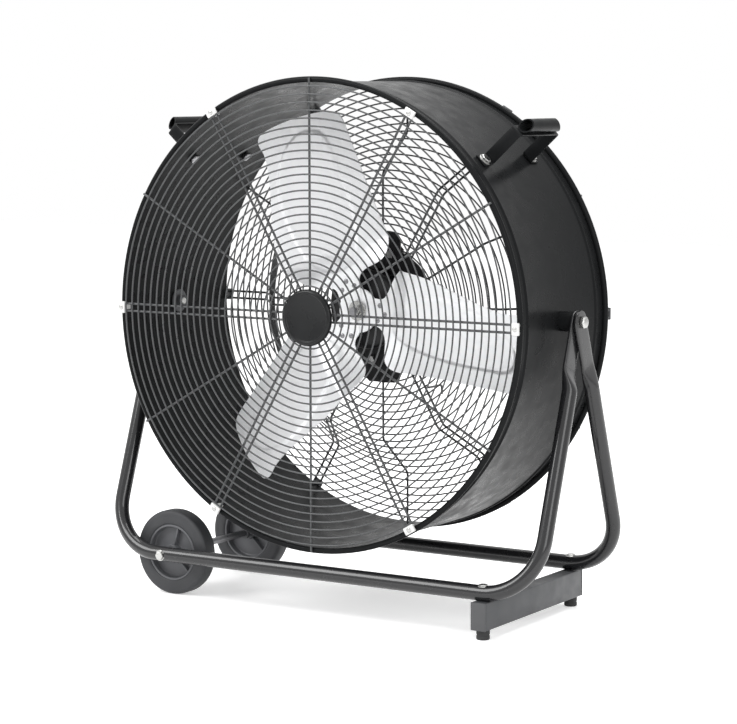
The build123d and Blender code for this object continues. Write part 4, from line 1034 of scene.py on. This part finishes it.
def make_stand_tubes():
    """The two bent tubes of the stand, flattened where they meet at the pivots."""
    for side, name, node in ((-1, "front_tube_bent", "stand_front_tube"),
                             (1, "rear_tube_bent", "stand_rear_tube")):
        up = leg_up(side)
        normal = Vector((0, -up.z, up.y))
        stations = tube_leg_stations(side, -1) + tube_leg_stations(side, 1)[::-1]
        verts = []
        for centre, out, half_out, half_wide, power in stations:
            for k in range(TUBE_SIDES):
                c, s = squircle(2 * pi * k / TUBE_SIDES, power)
                verts.append(centre + out * (half_out * c) + normal * (half_wide * s))
        faces = []
        for i in range(len(stations) - 1):
            faces += band(i, i + 1, TUBE_SIDES)
        faces.append(list(range(TUBE_SIDES)))
        faces.append([len(verts) - TUBE_SIDES + k for k in range(TUBE_SIDES)])
        build = Build()
        build.add(verts, faces)
        emit(name, build, "stand", "tube_paint", node, sharp=50)


def make_foot_bar():
    """Box-section foot bar with its end plugs, rubber feet and bolts."""
    middle_z = (FOOT_BAR_LOW + FOOT_BAR_HIGH) / 2
    height = FOOT_BAR_HIGH - FOOT_BAR_LOW
    bar = Build()
    block(bar, Vector((FOOT_BAR_X, 0, middle_z)), X_DIR, Z_DIR,
          (FOOT_BAR_W, height, 2 * FOOT_BAR_HALF), edge=2.6)
    emit("foot_bar_box", bar, "stand", "bar_paint", "foot_bar")
    caps, feet, bolts = Build(), Build(), Build()
    cap_size = (FOOT_BAR_W - 2 * CAP_INSET, height - 2 * CAP_INSET, CAP_T)
    for side in (-1, 1):
        end = Vector((FOOT_BAR_X, side * (FOOT_BAR_HALF + CAP_T / 2), middle_z))
        block(caps, end, X_DIR, Z_DIR, cap_size, edge=0.9)
        lathe(feet, FOOT_PROFILE, Vector((FOOT_BAR_X, side * STAND_Y, 0)), Z_DIR, segments=48)
        seat = Vector((FOOT_BAR_X, side * STAND_Y, TUBE_Z + TUBE_R - BOLT_SINK))
        hex_head(bolts, seat, Z_DIR, FOOT_BOLT_R, FOOT_BOLT_HEAD, FOOT_WASHER_R)
    emit("foot_bar_plugs", caps, "stand", "cap_plastic", "foot_bar_caps")
    emit("round_feet", feet, "stand", "foot_rubber", "rubber_feet")
    emit("foot_bar_bolt_heads", bolts, "stand", "zinc_steel", "foot_bar_bolts")


def make_axle():
    """Wheel axle with its bolts through the tubes and the collars beside the wheels."""
    place = Vector((WHEEL_X, 0, WHEEL_Z))
    axle, bolts, collars = Build(), Build(), Build()
    lathe(axle, barrel(-AXLE_HALF, AXLE_HALF, AXLE_R), place, Y_DIR, segments=40)
    for side in (-1, 1):
        axis = Y_DIR * side
        hex_head(bolts, place + axis * (STAND_Y + TUBE_R - BOLT_SINK), axis, AXLE_HEAD_R,
                 AXLE_HEAD, AXLE_WASHER_R)
        for low, high in COLLAR_SPANS:
            profile = barrel(low, high, COLLAR_R, COLLAR_BORE_R, (COLLAR_EDGE, COLLAR_EDGE))
            lathe(collars, profile, place, axis, segments=40)
    emit("axle_rod", axle, "stand", "axle_steel", "wheel_axle")
    emit("axle_bolt_heads", bolts, "stand", "zinc_steel", "axle_bolts")
    emit("axle_spacers", collars, "stand", "cap_plastic", "axle_collars")


def make_wheel(side, name):
    """Rubber tyre on a ribbed plastic centre, each riding on the wheel's own body."""
    place = Vector((WHEEL_X, side * WHEEL_Y, WHEEL_Z))
    tyre = Build()
    lathe(tyre, mirrored(TYRE_HALF_PROFILE), place, Y_DIR, segments=128)
    emit(f"{name}_rubber", tyre, name, "tyre_rubber", f"{name}_tyre")
    centre = Build()
    lathe(centre, mirrored(CENTRE_HALF_PROFILE), place, Y_DIR, segments=96)
    for angle in WHEEL_RIB_ANGLES:
        out, along = around(angle)
        block(centre, place + out * WHEEL_RIB_AT_R, out, along, WHEEL_RIB_SIZE, edge=0.8)
    emit(f"{name}_centre", centre, name, "wheel_plastic", f"{name}_hub")


# ---- carried-over nodes ----
def dress_nodes():
    """Every node gets the material of its slot, which shows where no piece replaces it."""
    slots = {row["node"]: row["material_slot"] for row in frame["record"]["subparts"]}
    for name, node in nodes.items():
        material = MATERIALS[slots[name]]
        if node.material_slots:
            for place in node.material_slots:
                place.material = material
        else:
            node.data.materials.append(material)


# ---- studio ----
def seen_rays(tree):
    """1 for camera, glossy and transmission rays, so that the background shows in metal too."""
    path = tree.nodes.new("ShaderNodeLightPath")
    shown = path.outputs["Is Camera Ray"]
    for ray in ("Is Glossy Ray", "Is Transmission Ray"):
        either = tree.nodes.new("ShaderNodeMath")
        either.operation = "MAXIMUM"
        tree.links.new(shown, either.inputs[0])
        tree.links.new(path.outputs[ray], either.inputs[1])
        shown = either.outputs[0]
    return shown


def make_floor_paper():
    """Pale paper that meets the white background without a line and keeps the shadow."""
    paper = make_material("floor_paper", (0.93, 0.93, 0.93), 0.8, tint=0.01, tint_scale=2,
                          bump=0.0)
    tree = paper.node_tree
    glow = tree.nodes.new("ShaderNodeEmission")
    share = tree.nodes.new("ShaderNodeMath")
    share.operation = "MULTIPLY"
    share.inputs[1].default_value = FLOOR_LIFT
    tree.links.new(seen_rays(tree), share.inputs[0])
    tree.links.new(share.outputs[0], glow.inputs["Strength"])
    both = tree.nodes.new("ShaderNodeAddShader")
    tree.links.new(tree.nodes["Principled BSDF"].outputs[0], both.inputs[0])
    tree.links.new(glow.outputs[0], both.inputs[1])
    tree.links.new(both.outputs[0], tree.nodes["Material Output"].inputs["Surface"])
    return paper


def make_floor():
    """Plain pale floor under the object."""
    mesh = bpy.data.meshes.new("floor")
    mesh.from_pydata([(-FLOOR_HALF, -FLOOR_HALF, 0), (FLOOR_HALF, -FLOOR_HALF, 0),
                      (FLOOR_HALF, FLOOR_HALF, 0), (-FLOOR_HALF, FLOOR_HALF, 0)],
                     [], [(0, 1, 2, 3)])
    floor = bpy.data.objects.new("floor", mesh)
    bpy.context.scene.collection.objects.link(floor)
    mesh.materials.append(make_floor_paper())


def background(tree, strength):
    """White background of a given strength."""
    node = tree.nodes.new("ShaderNodeBackground")
    node.inputs["Color"].default_value = WHITE
    node.inputs["Strength"].default_value = strength
    return node


def make_world():
    """Soft light from all round, seen by the camera and in reflections as plain white."""
    world = bpy.data.worlds.new("studio")
    bpy.context.scene.world = world
    world.use_nodes = True
    tree = world.node_tree
    tree.nodes.clear()
    output = tree.nodes.new("ShaderNodeOutputWorld")
    soft = background(tree, SOFT_WORLD)
    white = background(tree, WHITE_WORLD)
    mix = tree.nodes.new("ShaderNodeMixShader")
    tree.links.new(seen_rays(tree), mix.inputs[0])
    tree.links.new(soft.outputs[0], mix.inputs[1])
    tree.links.new(white.outputs[0], mix.inputs[2])
    tree.links.new(mix.outputs[0], output.inputs[0])


def make_lamps():
    """Large soft area lamps, all aimed at the middle of the object."""
    for name, place, size, power in LAMPS:
        data = bpy.data.lights.new(name, "AREA")
        data.shape = "RECTANGLE"
        data.size, data.size_y = size
        data.energy = power
        lamp = bpy.data.objects.new(name, data)
        lamp.location = place
        aim = LAMP_AIM - lamp.location
        lamp.rotation_euler = aim.to_track_quat("-Z", "Y").to_euler()
        bpy.context.scene.collection.objects.link(lamp)


def make_camera():
    """Camera at the photograph's viewing angle, placed from the drum's front rim."""
    back = Vector((sin(CAMERA_TURN) * cos(CAMERA_RISE), -cos(CAMERA_TURN) * cos(CAMERA_RISE),
                   sin(CAMERA_RISE)))
    right = Vector((cos(CAMERA_TURN), sin(CAMERA_TURN), 0))
    up = right.cross(-back)
    right_rolled = right * cos(CAMERA_ROLL) + up * sin(CAMERA_ROLL)
    up_rolled = up * cos(CAMERA_ROLL) - right * sin(CAMERA_ROLL)
    rim_centre = Vector((0, -BEAD_Y, AXIS_Z))
    place = back * CAMERA_DISTANCE + right * CAMERA_RIGHT - up * CAMERA_DOWN + rim_centre
    data = bpy.data.cameras.new("camera")
    data.lens = CAMERA_LENS
    data.sensor_width = SENSOR_WIDTH
    data.clip_end = SIGHT_END
    camera = bpy.data.objects.new("camera", data)
    rotation = Matrix((right_rolled, up_rolled, back)).transposed()
    camera.matrix_world = Matrix.Translation(place * MM) @ rotation.to_4x4()
    bpy.context.scene.collection.objects.link(camera)
    bpy.context.scene.camera = camera


make_drum()
make_guards()
make_badge()
make_clips(-1, "front_clips", "clip_plastic", "front_guard_clips")
make_clips(1, "rear_clips", "cap_plastic", "rear_guard_clips")
make_motor()
make_switch_parts()
make_hooks()
make_blades()
make_hub()
make_shaft()
make_handles()
make_pivots()
make_stand_tubes()
make_foot_bar()
make_axle()
make_wheel(-1, "front_wheel")
make_wheel(1, "rear_wheel")
dress_nodes()
make_world()
make_floor()
make_lamps()
make_camera()
bpy.context.scene.view_settings.view_transform = "Standard"
